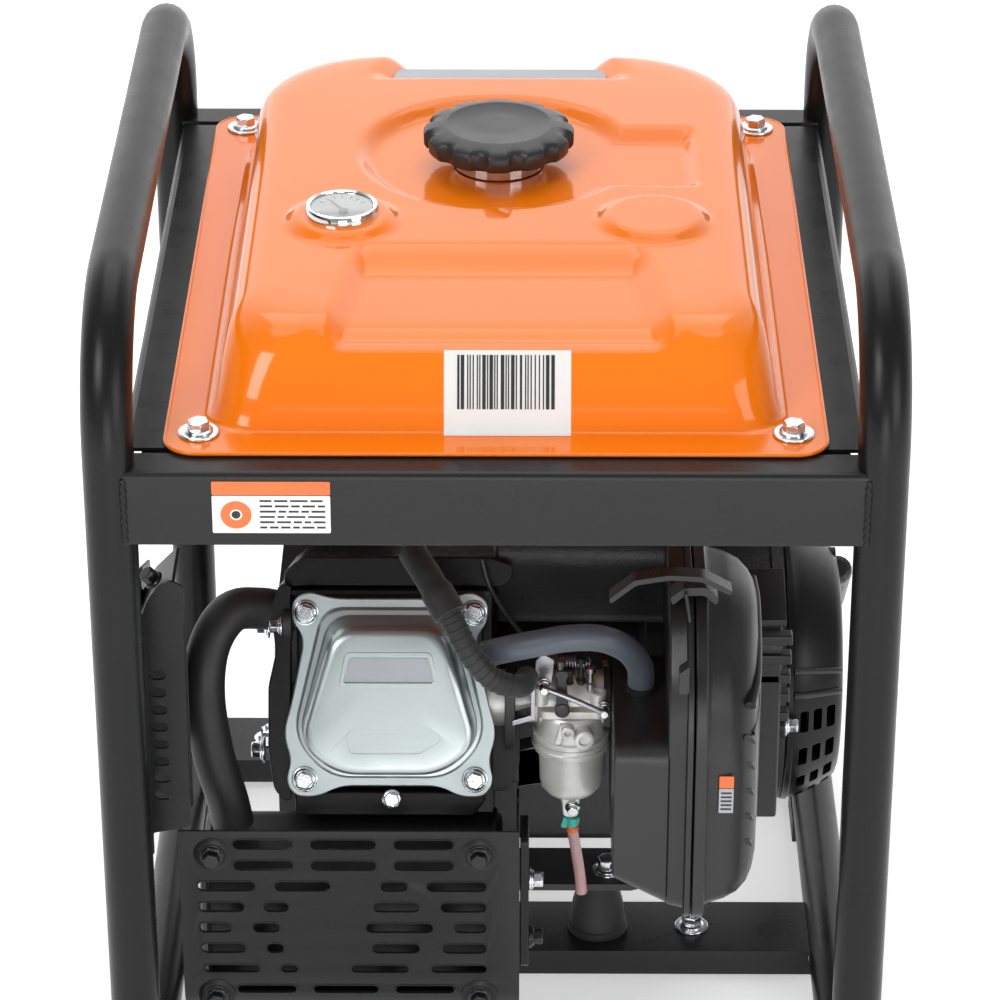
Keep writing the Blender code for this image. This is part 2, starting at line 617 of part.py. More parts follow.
def build_controls():
    """The rear control box, open towards the engine, with what is operated on its face."""
    half_x, back, face, low, high = 168, 152, 212, 182, 328
    box = make("control_panel", block((-half_x, back, low), (half_x, face, high)), "black_paint")
    inner_x = half_x - SHEET
    cut(box, block((-inner_x, back - 12, low + SHEET), (inner_x, face - SHEET, high - SHEET)))
    outlet = (50, 286)
    weld(box, rod((outlet[0], 190, outlet[1]), (outlet[0], 211.2, outlet[1]), 21, 24))
    cut(
        box,
        rod((outlet[0], 196, outlet[1]), (outlet[0], 214, outlet[1]), 17, 24),
        block((-123, 205, 272), (-97, 215, 300)),
        rod((-60, 205, 286), (-60, 215, 286), 5.7, 16),
    )
    rocker = make("engine_switch", block((-121, 203, 274.5), (-99, 217, 297.5)), "red_plastic", (-110, 207, 286))
    bevelled(rocker, 1.5)
    button = ((7, 203), (7, 209.4), (5, 209.4), (5, 218), (4, 219))
    make("breaker_button", turned(button, (-60, 0, 286), (0, 1, 0), 16), "red_plastic", (-60, 212, 286))
    x0, z0 = outlet
    flap = [
        (x0 - 18, z0 - 25), (x0 + 18, z0 - 25), (x0 + 24, z0 - 18), (x0 + 24, z0 + 25),
        (x0 - 24, z0 + 25), (x0 - 24, z0 - 18),
    ]
    plate = prism(flap, "Y", 212.4, 215.0)
    make("outlet_flap", plate, "black_plastic", (x0, 213.7, z0 + 24))
    make("inverter_module", prism(round_rect(-60, 110, 156, 189, 4, 2), "Z", 190, 262), "aluminium")


build_frame()
build_tank()
build_engine()
build_rotating()
build_starter()
build_ignition()
build_exhaust()
build_carburettor()
build_air_cleaner()
build_mounting()
build_controls()
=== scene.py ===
"""The looks of a portable open-frame generator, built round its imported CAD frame.

Shapes are written in millimetres in the CAD's own axes (+Z up, valve cover towards -Y, starter at +X),
and the helpers turn them into metres.
"""

import math
import random

import bmesh
import bpy
from mathutils import Matrix, Vector


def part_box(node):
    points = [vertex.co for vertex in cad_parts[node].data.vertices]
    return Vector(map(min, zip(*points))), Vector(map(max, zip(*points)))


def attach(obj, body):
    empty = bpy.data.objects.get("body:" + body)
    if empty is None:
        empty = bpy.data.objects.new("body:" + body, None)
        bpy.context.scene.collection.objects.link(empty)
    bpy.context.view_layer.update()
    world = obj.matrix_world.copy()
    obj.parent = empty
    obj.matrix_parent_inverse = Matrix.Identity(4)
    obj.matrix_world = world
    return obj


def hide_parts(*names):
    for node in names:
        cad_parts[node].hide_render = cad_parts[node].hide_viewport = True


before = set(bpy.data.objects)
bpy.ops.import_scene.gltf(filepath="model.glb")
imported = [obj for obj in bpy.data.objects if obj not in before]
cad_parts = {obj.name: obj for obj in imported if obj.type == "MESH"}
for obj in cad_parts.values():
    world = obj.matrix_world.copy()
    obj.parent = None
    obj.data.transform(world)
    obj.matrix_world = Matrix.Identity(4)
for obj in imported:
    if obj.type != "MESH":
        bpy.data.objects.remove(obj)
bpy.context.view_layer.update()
MM = 0.001
UP, RIGHT, FRONT = (0, 0, 1), (1, 0, 0), (0, -1, 0)
PLACES = ("front_left", "front_right", "rear_left", "rear_right")


def low_high(node):
    """A CAD node's box in millimetres."""
    low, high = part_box(node)
    return Vector(low) / MM, Vector(high) / MM


# ---------------------------------------------------------------- materials


def ranged(nodes, from_low, from_high, low, high):
    """A node that maps one span of values onto another."""
    spread = nodes.new("ShaderNodeMapRange")
    for socket, value in (("From Min", from_low), ("From Max", from_high), ("To Min", low), ("To Max", high)):
        spread.inputs[socket].default_value = value
    return spread


def mixed_noise(nodes, links, coords, scale, detail, low, high):
    """Noise spread between two values."""
    noise = nodes.new("ShaderNodeTexNoise")
    noise.inputs["Scale"].default_value = scale
    noise.inputs["Detail"].default_value = detail
    links.new(coords.outputs["Object"], noise.inputs["Vector"])
    spread = ranged(nodes, 0.3, 0.7, low, high)
    links.new(noise.outputs["Fac"], spread.inputs["Value"])
    return spread.outputs["Result"]


def material(
    name, colour, rough, metal=0.0, coat=0.0, grain=900, bump=0.05, mottle=0.08, drift=18, sheen=0.0,
    clear=0.0, edge=0.0, brushed=False, specular=0.5,
):
    """A Principled finish with cloudy colour, uneven gloss, a fine grain and, if asked, worn edges."""
    made = bpy.data.materials.new(name)
    made.use_nodes = True
    nodes, links = made.node_tree.nodes, made.node_tree.links
    shader = nodes["Principled BSDF"]
    for socket, value in (
        ("Metallic", metal), ("Specular IOR Level", specular), ("Coat Weight", coat), ("Coat Roughness", 0.04),
        ("Sheen Weight", sheen), ("Transmission Weight", clear),
    ):
        shader.inputs[socket].default_value = value
    coords = nodes.new("ShaderNodeTexCoord")
    tint = nodes.new("ShaderNodeMix")
    tint.data_type = "RGBA"
    tint.inputs["A"].default_value = (*(c * (1 - mottle) for c in colour), 1)
    tint.inputs["B"].default_value = (*(min(1, c * (1 + mottle)) for c in colour), 1)
    links.new(mixed_noise(nodes, links, coords, drift, 3, 0, 1), tint.inputs["Factor"])
    result = tint.outputs["Result"]
    if edge:
        geometry = nodes.new("ShaderNodeNewGeometry")
        worn = ranged(nodes, 0.52, 0.62, 0.0, edge)
        links.new(geometry.outputs["Pointiness"], worn.inputs["Value"])
        rub = nodes.new("ShaderNodeMix")
        rub.data_type = "RGBA"
        rub.inputs["B"].default_value = (*(min(1, c * 2.2 + 0.03) for c in colour), 1)
        links.new(worn.outputs["Result"], rub.inputs["Factor"])
        links.new(result, rub.inputs["A"])
        result = rub.outputs["Result"]
    links.new(result, shader.inputs["Base Color"])
    gloss = mixed_noise(nodes, links, coords, drift * 2.7, 4, max(0.02, rough * 0.85), min(1, rough * 1.15))
    links.new(gloss, shader.inputs["Roughness"])
    if bump:
        texture = nodes.new("ShaderNodeTexNoise")
        texture.inputs["Scale"].default_value = grain
        texture.inputs["Detail"].default_value = 3
        if brushed:
            stretch = nodes.new("ShaderNodeMapping")
            stretch.inputs["Scale"].default_value = (0.04, 1.0, 1.0)
            links.new(coords.outputs["Object"], stretch.inputs["Vector"])
            links.new(stretch.outputs["Vector"], texture.inputs["Vector"])
        else:
            links.new(coords.outputs["Object"], texture.inputs["Vector"])
        relief = nodes.new("ShaderNodeBump")
        relief.inputs["Strength"].default_value = bump
        relief.inputs["Distance"].default_value = 0.0006
        links.new(texture.outputs["Fac"], relief.inputs["Height"])
        links.new(relief.outputs["Normal"], shader.inputs["Normal"])
    return made


PAINT = material("powder_coat_black", (0.0065, 0.0067, 0.007), 0.29, grain=1400, bump=0.12, edge=0.35,
                 specular=0.26)
DULL = material("heat_proof_black", (0.017, 0.0165, 0.016), 0.5, grain=1100, bump=0.2, edge=0.3)
ORANGE = material("tank_orange", (1.0, 0.215, 0.005), 0.18, coat=0.6, grain=160, bump=0.03, mottle=0.03, drift=9,
                  specular=0.2)
SILVER = material("pressed_silver", (0.50, 0.56, 0.56), 0.33, 0.8, grain=700, bump=0.06, mottle=0.04)
ZINC = material("zinc_plate", (0.72, 0.74, 0.77), 0.2, 1.0, grain=800, bump=0.08, mottle=0.14, drift=130)
CAST = material("black_casting", (0.016, 0.016, 0.017), 0.42, grain=520, bump=0.45, edge=0.3)
ALLOY = material("cast_alloy", (0.50, 0.49, 0.47), 0.42, 0.85, grain=600, bump=0.4, mottle=0.12)
CARB = material("warm_die_casting", (0.70, 0.70, 0.665), 0.36, 0.35, grain=650, bump=0.25, mottle=0.1, drift=60)
STEEL = material("machined_steel", (0.42, 0.42, 0.44), 0.3, 1.0, grain=900, bump=0.15, brushed=True)
PLASTIC = material("moulded_black", (0.017, 0.0165, 0.017), 0.33, grain=1700, bump=0.16, mottle=0.12)
SATIN = material("satin_cap_plastic", (0.02, 0.02, 0.021), 0.3, grain=2200, bump=0.25, mottle=0.1)
PAINT_BOLT = material("black_bolt", (0.035, 0.035, 0.037), 0.24, 0.7, grain=900, bump=0.1, mottle=0.1)
RUBBER = material("black_rubber", (0.014, 0.014, 0.0145), 0.62, grain=900, bump=0.3, sheen=0.2)
HOSE = material("grey_hose", (0.085, 0.098, 0.125), 0.42, grain=1200, bump=0.14, mottle=0.1, sheen=0.15)
PINK = material("pink_tube", (0.72, 0.42, 0.42), 0.25, coat=0.4, grain=500, bump=0.05, clear=0.25)
COPPER = material("copper_winding", (0.55, 0.2, 0.07), 0.35, 0.9, grain=900, bump=0.5, brushed=True)
FOAM = material("open_foam", (0.16, 0.15, 0.12), 0.9, grain=1500, bump=0.9)
# the pan has the tank's orange paint; this dark maroon is painted shade for the shadow under the tank
PAN_PAINTED_SHADE = material("pan_red_painted_shade", (0.12, 0.012, 0.006), 0.25, coat=0.5, grain=160, bump=0.03, mottle=0.05)
RED = material("red_moulding", (0.55, 0.02, 0.012), 0.3, coat=0.3, grain=900, bump=0.06)
CHROME = material("chrome", (0.82, 0.83, 0.85), 0.08, 1.0, grain=300, bump=0.02, mottle=0.03)
GLASS = material("lens", (0.93, 0.95, 0.95), 0.04, clear=0.9, coat=0.6, bump=0.0, mottle=0.02)
WHITE = material("white_label", (0.86, 0.86, 0.84), 0.4, grain=700, bump=0.04, mottle=0.03)
INK = material("label_ink", (0.02, 0.02, 0.02), 0.5, grain=700, bump=0.04, mottle=0.2, drift=200)
LABEL_ORANGE = material("label_orange", (0.85, 0.17, 0.04), 0.4, grain=700, bump=0.04)
LABEL_YELLOW = material("label_yellow", (0.85, 0.62, 0.02), 0.4, grain=700, bump=0.04)
TEAL = material("teal_clip", (0.03, 0.42, 0.36), 0.3, coat=0.3, grain=700, bump=0.05)
GREY_PLATE = material("grey_plate", (0.40, 0.42, 0.45), 0.35, 0.4, grain=800, bump=0.08)


# ---------------------------------------------------------------- shapes


def link(thing, finish, body="root", replaces=()):
    """Puts a piece in the scene on its body, in its finish."""
    if thing.name not in bpy.context.scene.collection.objects:
        bpy.context.scene.collection.objects.link(thing)
    if finish:
        thing.data.materials.append(finish)
    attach(thing, body)
    if replaces:
        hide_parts(*([replaces] if isinstance(replaces, str) else replaces))
    return thing


def mesh_of(name, shape):
    """A bmesh in millimetres as a mesh in metres, with its faces turned outwards."""
    bmesh.ops.recalc_face_normals(shape, faces=shape.faces)
    bmesh.ops.scale(shape, verts=shape.verts, vec=(MM, MM, MM))
    mesh = bpy.data.meshes.new(name)
    shape.to_mesh(mesh)
    shape.free()
    return mesh


def smoothed(mesh, angle):
    """Smooth shading, except over edges sharper than angle."""
    mesh.shade_smooth()
    mesh.set_sharp_from_angle(angle=math.radians(angle))
    return mesh


def round_edges(thing, width, segments, limit):
    """Rounds the edges that turn by more than limit."""
    step = thing.modifiers.new("bevel", "BEVEL")
    step.width, step.segments, step.angle_limit = width, segments, limit
    return step


def piece(name, shape, finish, body="root", slot=None, replaces=(), bevel=0.0, segments=3, angle=35):
    """A bmesh in millimetres as a finished piece, with its edges rounded by bevel."""
    mesh = smoothed(mesh_of(name, shape), angle)
    thing = link(bpy.data.objects.new(name, mesh), finish, body, replaces)
    if bevel:
        round_edges(thing, bevel * MM, segments, math.radians(28)).harden_normals = True
    return thing


def carve(thing, *shapes):
    """Cuts shapes out of a piece and applies the result, keeping its bevel."""
    helpers = []
    for shape in shapes:
        helper = bpy.data.objects.new("cutter", mesh_of("cutter", shape))
        bpy.context.scene.collection.objects.link(helper)
        helpers.append(helper)
        step = thing.modifiers.new("carve", "BOOLEAN")
        step.object = helper
        thing.modifiers.move(thing.modifiers.find(step.name), 0)
    rounding = [step for step in thing.modifiers if step.type == "BEVEL"]
    bevels = [(step.width, step.segments, step.angle_limit) for step in rounding]
    for step in rounding:
        thing.modifiers.remove(step)
    bpy.context.view_layer.update()
    graph = bpy.context.evaluated_depsgraph_get()
    made = bpy.data.meshes.new_from_object(thing.evaluated_get(graph))
    thing.modifiers.clear()
    old, thing.data = thing.data, made
    bpy.data.meshes.remove(old)
    for helper in helpers:
        bpy.data.objects.remove(helper)
    smoothed(made, 35)
    for bevel in bevels:
        round_edges(thing, *bevel)
    return thing


def loft(rings, closed=False, cap_low=True, cap_high=True):
    """A skin over rings of equally many points, capped at its ends unless it closes on itself."""
    shape = bmesh.new()
    rows = [[shape.verts.new(point) for point in ring] for ring in rings]
    pairs = list(zip(rows, rows[1:]))
    if closed:
        pairs.append((rows[-1], rows[0]))
    else:
        if cap_low:
            shape.faces.new(rows[0][::-1])
        if cap_high:
            shape.faces.new(rows[-1])
    count = len(rows[0])
    for low, high in pairs:
        for i in range(count):
            j = (i + 1) % count
            shape.faces.new((low[i], low[j], high[j], high[i]))
    return shape


def merged(shapes):
    """Several separate solids in one mesh."""
    whole = bmesh.new()
    for shape in shapes:
        held = bpy.data.meshes.new("held")
        shape.to_mesh(held)
        shape.free()
        whole.from_mesh(held)
        bpy.data.meshes.remove(held)
    return whole


def block(low, high):
    """A box between two opposite corners."""
    corners = ((0, 0), (1, 0), (1, 1), (0, 1))
    ends = (low, high)
    return loft([[(ends[a][0], ends[b][1], ends[c][2]) for a, b in corners] for c in (0, 1)])


def prism(outline, axis, low, high):
    """An outline drawn out along an axis, from low to high."""
    place = {"X": lambda a, b, h: (h, a, b), "Y": lambda a, b, h: (a, h, b), "Z": lambda a, b, h: (a, b, h)}
    return loft([[place[axis](a, b, h) for a, b in outline] for h in (low, high)])


def rect(x0, x1, y0, y1):
    """A rectangle's corners, in order."""
    return [(x0, y0), (x1, y0), (x1, y1), (x0, y1)]


def arc(centre, radius, start, end, steps):
    """Points along an arc, with its ends in degrees."""
    angles = [math.radians(start + (end - start) * i / steps) for i in range(steps + 1)]
    return [(centre[0] + radius * math.cos(t), centre[1] + radius * math.sin(t)) for t in angles]


def rounded(points, radius, steps=5):
    """An outline with its corners rounded; radius is one number or one for each corner."""
    count = len(points)
    radii = [radius] * count if isinstance(radius, (int, float)) else radius
    made = []
    for i, point in enumerate(points):
        here = Vector(point)
        back, on = (Vector(points[i - 1]) - here), (Vector(points[(i + 1) % count]) - here)
        reach = min(radii[i], 0.49 * back.length, 0.49 * on.length)
        start, end = here + back.normalized() * reach, here + on.normalized() * reach
        for k in range(steps + 1):
            t = k / steps
            made.append(tuple(start * (1 - t) ** 2 + here * 2 * t * (1 - t) + end * t * t))
    return made


def slab(name, outline, radius, axis, low, high, finish, *more, **how):
    """A piece cut from a sheet: an outline with rounded corners, between two places on an axis."""
    return piece(name, prism(rounded(outline, radius), axis, low, high), finish, *more, **how)


def round_rect(x0, x1, y0, y1, radius, steps=6):
    """A rectangle whose corners are true quarter circles."""
    made = []
    for x, y, start in ((x1, y1, 0), (x0, y1, 90), (x0, y0, 180), (x1, y0, 270)):
        centre = (x - radius if x == x1 else x + radius, y - radius if y == y1 else y + radius)
        made += arc(centre, radius, start, start + 90, steps)
    return made


def ring(centre, axis, radius, count):
    """Points round a circle square to an axis."""
    axis = Vector(axis).normalized()
    side = axis.orthogonal().normalized()
    up = axis.cross(side)
    turns = [2 * math.pi * i / count for i in range(count)]
    return [tuple(Vector(centre) + radius * (math.cos(t) * side + math.sin(t) * up)) for t in turns]


def rod(start, end, radius, count=32):
    """A straight round bar."""
    axis = Vector(end) - Vector(start)
    return loft([ring(start, axis, radius, count), ring(end, axis, radius, count)])


def turned(profile, base, axis, count=48, closed=False):
    """A profile of radius and height, turned about an axis through base."""
    way = Vector(axis).normalized()
    rings = [ring(Vector(base) + way * height, way, radius, count) for radius, height in profile]
    return loft(rings, closed)


def hexagon(centre, axis, across, height):
    """A hexagonal head, from corner to corner across, its top edge turned down to a chamfer."""
    way = Vector(axis).normalized()
    centre = Vector(centre)
    return loft(
        [ring(centre + way * h, way, across / 2 * s, 6) for h, s in ((0, 1), (height * 0.86, 1), (height, 0.88))]
    )


def smooth_path(points, per_span=8):
    """A smooth curve through the points, with per_span steps between each two."""
    route = [Vector(p) for p in points]
    route = [2 * route[0] - route[1]] + route + [2 * route[-1] - route[-2]]
    made = []
    for a, b, c, d in zip(route, route[1:], route[2:], route[3:]):
        for i in range(per_span):
            t = i / per_span
            made.append(
                0.5 * (2 * b + (c - a) * t + (2 * a - 5 * b + 4 * c - d) * t * t + (3 * b - a - 3 * c + d) * t**3)
            )
    return made + [route[-2]]


def tube(name, route, radius, finish, body="root", replaces=(), smooth=8, cyclic=False, radii=None):
    """A round tube along a route in millimetres, with capped ends. radii scales it along the route."""
    points = smooth_path(route, smooth) if smooth else [Vector(p) for p in route]
    curve = bpy.data.curves.new(name, "CURVE")
    curve.dimensions = "3D"
    spline = curve.splines.new("POLY")
    spline.points.add(len(points) - 1)
    for i, (knot, point) in enumerate(zip(spline.points, points)):
        knot.co = (*(Vector(point) * MM), 1.0)
        if radii:
            at = i / (len(points) - 1) * (len(radii) - 1)
            low = min(int(at), len(radii) - 2)
            knot.radius = radii[low] + (radii[low + 1] - radii[low]) * (at - low)
    spline.use_cyclic_u = cyclic
    spline.use_smooth = True
    curve.bevel_depth = radius * MM
    curve.bevel_resolution = 8
    curve.use_fill_caps = True
    return link(bpy.data.objects.new(name, curve), finish, body, replaces)


def bolt(name, centre, axis, across, height, washer=0.0, finish=ZINC, body="root", stud=0.0):
    """A hexagon head on a washer, with a stud's end if asked."""
    way = Vector(axis).normalized()
    centre = Vector(centre)
    shapes = []
    if washer:
        shapes.append(turned(((washer, 0), (washer, 1.0), (washer - 0.4, 1.3)), centre, way, 32))
    base = centre + way * (1.2 if washer else 0)
    flange = ((across * 0.62, 0), (across * 0.62, 0.8), (across * 0.5, 1.6))
    shapes.append(turned(flange, base, way, 32))
    shapes.append(hexagon(base + way * 1.2, way, across, height))
    if stud:
        shapes.append(turned(((stud, 0), (stud, height + 2.6), (stud * 0.8, height + 3.4)), base, way, 20))
    thing = piece(name, merged(shapes), finish, body)
    round_edges(thing, 0.25 * MM, 2, math.radians(30))
    return thing


# ---------------------------------------------------------------- camera, light and floor


def build_stage():
    """Camera, a background brighter overhead and behind, a pale floor, and four soft lights."""
    camera = bpy.data.objects.new("camera", bpy.data.cameras.new("camera"))
    bpy.context.scene.collection.objects.link(camera)
    bpy.context.scene.camera = camera
    camera.location = (0.0114, -1.9444, 1.3242)
    camera.rotation_euler = (math.radians(61.67), 0, math.radians(0.31))
    camera.data.lens = 146.26
    camera.data.sensor_width = 36
    camera.data.clip_start, camera.data.clip_end = 0.05, 50

    world = bpy.data.worlds.new("studio")
    bpy.context.scene.world = world
    world.use_nodes = True
    nodes, links = world.node_tree.nodes, world.node_tree.links
    coords = nodes.new("ShaderNodeTexCoord")
    split = nodes.new("ShaderNodeSeparateXYZ")
    spread = ranged(nodes, 0.25, 0.8, 0.32, 1.45)
    links.new(coords.outputs["Generated"], split.inputs["Vector"])
    links.new(split.outputs["Y"], spread.inputs["Value"])
    links.new(spread.outputs["Result"], nodes["Background"].inputs["Strength"])
    nodes["Background"].inputs["Color"].default_value = (1, 1, 1, 1)

    shape = bmesh.new()
    bmesh.ops.create_grid(shape, x_segments=1, y_segments=1, size=12)
    floor_mesh = bpy.data.meshes.new("floor")
    shape.to_mesh(floor_mesh)
    shape.free()
    floor = bpy.data.objects.new("floor", floor_mesh)
    bpy.context.scene.collection.objects.link(floor)
    floor_mesh.materials.append(material("pale_floor", (0.97, 0.97, 0.97), 0.7, grain=60, bump=0.01, mottle=0.01))
    shine = floor_mesh.materials[0].node_tree.nodes["Principled BSDF"]
    shine.inputs["Emission Color"].default_value = (1, 1, 1, 1)
    shine.inputs["Emission Strength"].default_value = 0.46

    for name, place, aim, size, power in (
        ("key", (-1.3, -1.6, 1.9), (0, 0, 0.25), 1.0, 21),
        ("fill", (1.7, -1.7, 1.0), (0, 0, 0.25), 1.2, 13),
        ("low_front", (0.1, -2.2, 0.35), (0, 0, 0.18), 0.9, 8),
        ("top", (0, 0.6, 2.2), (0, 0, 0.3), 1.6, 13),
    ):
        lamp = bpy.data.objects.new(name, bpy.data.lights.new(name, "AREA"))
        bpy.context.scene.collection.objects.link(lamp)
        lamp.location = place
        lamp.rotation_euler = (Vector(aim) - Vector(place)).to_track_quat("-Z", "Y").to_euler()
        lamp.data.size = size
        lamp.data.energy = power
    bpy.context.scene.view_settings.view_transform = "Standard"


# ---------------------------------------------------------------- frame

TUBE_R = 12.7
LOOP_X, LOOP_Y, LOOP_TOP = 186.6, 215.6, 483.4
LOOP_BOTTOM = low_high("frame_loop_left")[0].z + TUBE_R
BENDS = (67.0, 56.0, 62.0, 62.0)  # front top, rear top, rear bottom, front bottom
BEAM_LOW, BEAM_TOP = (end.z for end in low_high("front_beam"))


def loop_path(x, steps=16):
    """The centre line of one of the frame's tube loops."""
    y = LOOP_Y
    front, rear, rear_low, front_low = BENDS
    route = arc((-y + front, LOOP_TOP - front), front, 180, 90, steps)
    route += arc((y - rear, LOOP_TOP - rear), rear, 90, 0, steps)
    route += arc((y - rear_low, LOOP_BOTTOM + rear_low), rear_low, 0, -90, steps)
    route += arc((-y + front_low, LOOP_BOTTOM + front_low), front_low, 270, 180, steps)
    return [(x, a, b) for a, b in route]


def weld_bead(name, x, y, z, height):
    """A ripple of weld up the corner between a beam's face and its upright."""
    step, sway = 2.2, 0.35
    points = [(x + (sway if i % 2 else -sway), y, z + i * step) for i in range(int(height / step))]
    return tube(name, points, 1.7, PAINT, smooth=2, radii=[0.9, 1.1, 0.95, 1.15, 0.9])


def channel(name, facing, node):
    """A folded channel whose ends are coped round the uprights."""
    face, lip, sheet = facing * 226.0, facing * 204.0, 2.0
    outer = [(lip, BEAM_LOW), (face, BEAM_LOW), (face, BEAM_TOP), (lip, BEAM_TOP)]
    inner = [(lip, BEAM_TOP - sheet), (face - facing * sheet, BEAM_TOP - sheet),
             (face - facing * sheet, BEAM_LOW + sheet), (lip, BEAM_LOW + sheet)]
    outline = rounded(outer + inner, [0.6, 3.4, 3.4, 0.6, 0.6, 1.6, 1.6, 0.6], 5)
    beam = piece(name, prism(outline, "X", -184, 184), PAINT, slot="frame_paint", replaces=node)
    low, high = 340, 440  # heights well below and above the beam
    posts, outside = [], []
    for s in (-1, 1):
        x, y = s * LOOP_X, facing * LOOP_Y
        posts.append(rod((x, y, low), (x, y, high), TUBE_R - 0.15, 48))
        outside.append(block((x - 6 + s * 6, -260, low), (x + 6 + s * 6, 260, high)))
    carve(beam, *posts, *outside)
    for side, s in (("left", -1), ("right", 1)):
        weld_bead(f"{name}_weld_{side}", s * 179.2, facing * 225.6, BEAM_LOW + 1.5, BEAM_TOP - BEAM_LOW - 2)


def build_frame():
    """The tube loops, the beams between them, and the rails, cross members and feet."""
    for side, x in (("left", -LOOP_X), ("right", LOOP_X)):
        tube(f"tube_{side}", loop_path(x), TUBE_R, PAINT, replaces=f"frame_loop_{side}",
             smooth=0, cyclic=True)
    channel("beam_front", -1, "front_beam")
    channel("beam_rear", 1, "rear_beam")
    for node in ("cradle_rail_left", "cradle_rail_right", "front_cross_member", "rear_cross_member"):
        dress(node, PAINT)
    for place in PLACES:
        dress(f"foot_{place}", RUBBER)


def dress(node, finish):
    """A CAD node that keeps its shape gets its finish."""
    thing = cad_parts[node]
    thing.data.materials.clear()
    thing.data.materials.append(finish)
    return thing


# ---------------------------------------------------------------- fuel tank

TANK_LOW, TANK_HIGH = low_high("tank_upper_shell")
FLANGE_TOP = TANK_LOW.z + 0.8
FILLER = Vector((0, 44, 0))
GAUGE = Vector((-80, -40, 0))
# each section of the pressing: half width, front edge, rear edge, front and rear corner radius, height
DOME_SECTIONS = (
    (161.3, -208.5, 206.9, 16, 16, 0.0), (148, -194, 205.4, 18, 30, 0.0), (142.5, -187.5, 203.6, 20, 60, 0.2),
    (140.5, -185.5, 202.6, 22, 66, 1.4), (139.0, -183.5, 201.4, 23, 68, 5.0),
    (137.2, -180.5, 199.6, 25, 68, 13.0), (134.5, -174.0, 196.6, 27, 66, 26.0),
    (131.5, -167.0, 193.6, 29, 64, 36.5), (128.4, -161.0, 190.6, 31, 62, 41.6),
    (124.0, -154.5, 186.6, 32, 60, 44.9), (118.0, -147.5, 180.6, 32, 58, 46.5),
    (108, -138, 171, 32, 56, 47.1), (60, -92, 124, 26, 40, 47.6), (6, -40, 72, 4, 4, 47.7),
)
SECTION_STEPS = (2, 3, 2, 3, 4, 5, 5, 5, 5, 5, 6, 26, 22)


def step_up(value):
    """0 below 0, 1 above 1, and smooth between."""
    t = max(0.0, min(1.0, value))
    return t * t * (3 - 2 * t)


def pressed_features(x, y):
    """What the press adds to the dome's top: a front step, the cap's recess, two bosses and a rear notch."""
    inside = step_up((132 - abs(x)) / 14) * step_up((y + 172) / 16)
    widening = 64 + max(0.0, -78 - y) * 0.13
    slope = 11 if x < 0 else 15
    front_step = step_up((-66 - y) / 30) * step_up((widening + slope - abs(x)) / slope)
    rise = -8.0 * front_step
    disc = step_up((76 - math.hypot(x + 1, y - 49)) / 11)
    channel_way = step_up((x + 10) / 20) * step_up((107 - x) / 10) * step_up((y - 3) / 9) * step_up((84 - y) / 15)
    rise -= 6.0 * max(disc, channel_way)
    for side in (-1, 1):
        away = math.hypot(x - side * 80, y + 41)
        corner = math.hypot(x - side * 98, (y + 41) * 1.5)
        rise += 4.2 * step_up((31 - min(away, corner + 19)) / 8)
    notch = step_up((y - 149) / 14) * step_up((74 - (y - 149) * 0.25 - abs(x)) / 20)
    rise -= 12.0 * notch
    return rise * inside


def section_outline(half, front, rear, front_radius, rear_radius, side_points=92, corner_points=16):
    """A four-sided section with rounded corners, its sides divided so that features can be pressed into it."""
    corners = []
    for x, y, radius, start in (
        (half, rear, rear_radius, 0), (-half, rear, rear_radius, 90),
        (-half, front, front_radius, 180), (half, front, front_radius, 270),
    ):
        radius = min(radius, 0.96 * half)
        centre = (x - math.copysign(radius, x), y - radius if y == rear else y + radius)
        corners.append(arc(centre, radius, start, start + 90, corner_points))
    outline = []
    for i, corner in enumerate(corners):
        outline += corner
        (ax, ay), (bx, by) = corner[-1], corners[(i + 1) % 4][0]
        for k in range(1, side_points):
            outline.append((ax + (bx - ax) * k / side_points, ay + (by - ay) * k / side_points))
    return outline


def sections():
    """The dome's sections with smooth steps between those given."""
    made = []
    for i, (low, high) in enumerate(zip(DOME_SECTIONS, DOME_SECTIONS[1:])):
        before = DOME_SECTIONS[max(i - 1, 0)]
        after = DOME_SECTIONS[min(i + 2, len(DOME_SECTIONS) - 1)]
        for k in range(SECTION_STEPS[i]):
            t = k / SECTION_STEPS[i]
            between = [a + (b - a) * t for a, b in zip(low[:5], high[:5])]
            made.append(between + [height_between(before, low, high, after, t)])
    return made + [list(DOME_SECTIONS[-1])]


def height_between(before, low, high, after, t):
    """Height between two sections, on a monotone cubic over the half width."""
    span = low[0] - high[0]
    slope = (high[5] - low[5]) / span
    first = (low[5] - before[5]) / max(before[0] - low[0], 1e-6) if before is not low else 0.0
    last = (after[5] - high[5]) / max(high[0] - after[0], 1e-6) if after is not high else 0.0
    start = 0.0 if first * slope <= 0 else 2 * first * slope / (first + slope)
    end = 0.0 if last * slope <= 0 else 2 * last * slope / (last + slope)
    a, b = t * t * (3 - 2 * t), t * (1 - t)
    return low[5] * (1 - a) + high[5] * a + span * b * ((1 - t) * start - t * end)


def dome_z(x, y):
    """Height of the dome's front wall and top at x, y."""
    for i, (low, high) in enumerate(zip(DOME_SECTIONS, DOME_SECTIONS[1:])):
        if low[1] <= y <= high[1]:
            t = (y - low[1]) / (high[1] - low[1])
            before, after = DOME_SECTIONS[max(i - 1, 0)], DOME_SECTIONS[i + 2]
            return FLANGE_TOP + height_between(before, low, high, after, t) + pressed_features(x, y)
    return FLANGE_TOP


def tank_ring(inset):
    """The tank flange's outline, drawn in by inset."""
    radius = 16 + max(0, inset - 16) * 0.55
    return section_outline(TANK_HIGH.x - inset, TANK_LOW.y + inset, TANK_HIGH.y - inset, radius, radius, 6, 8)


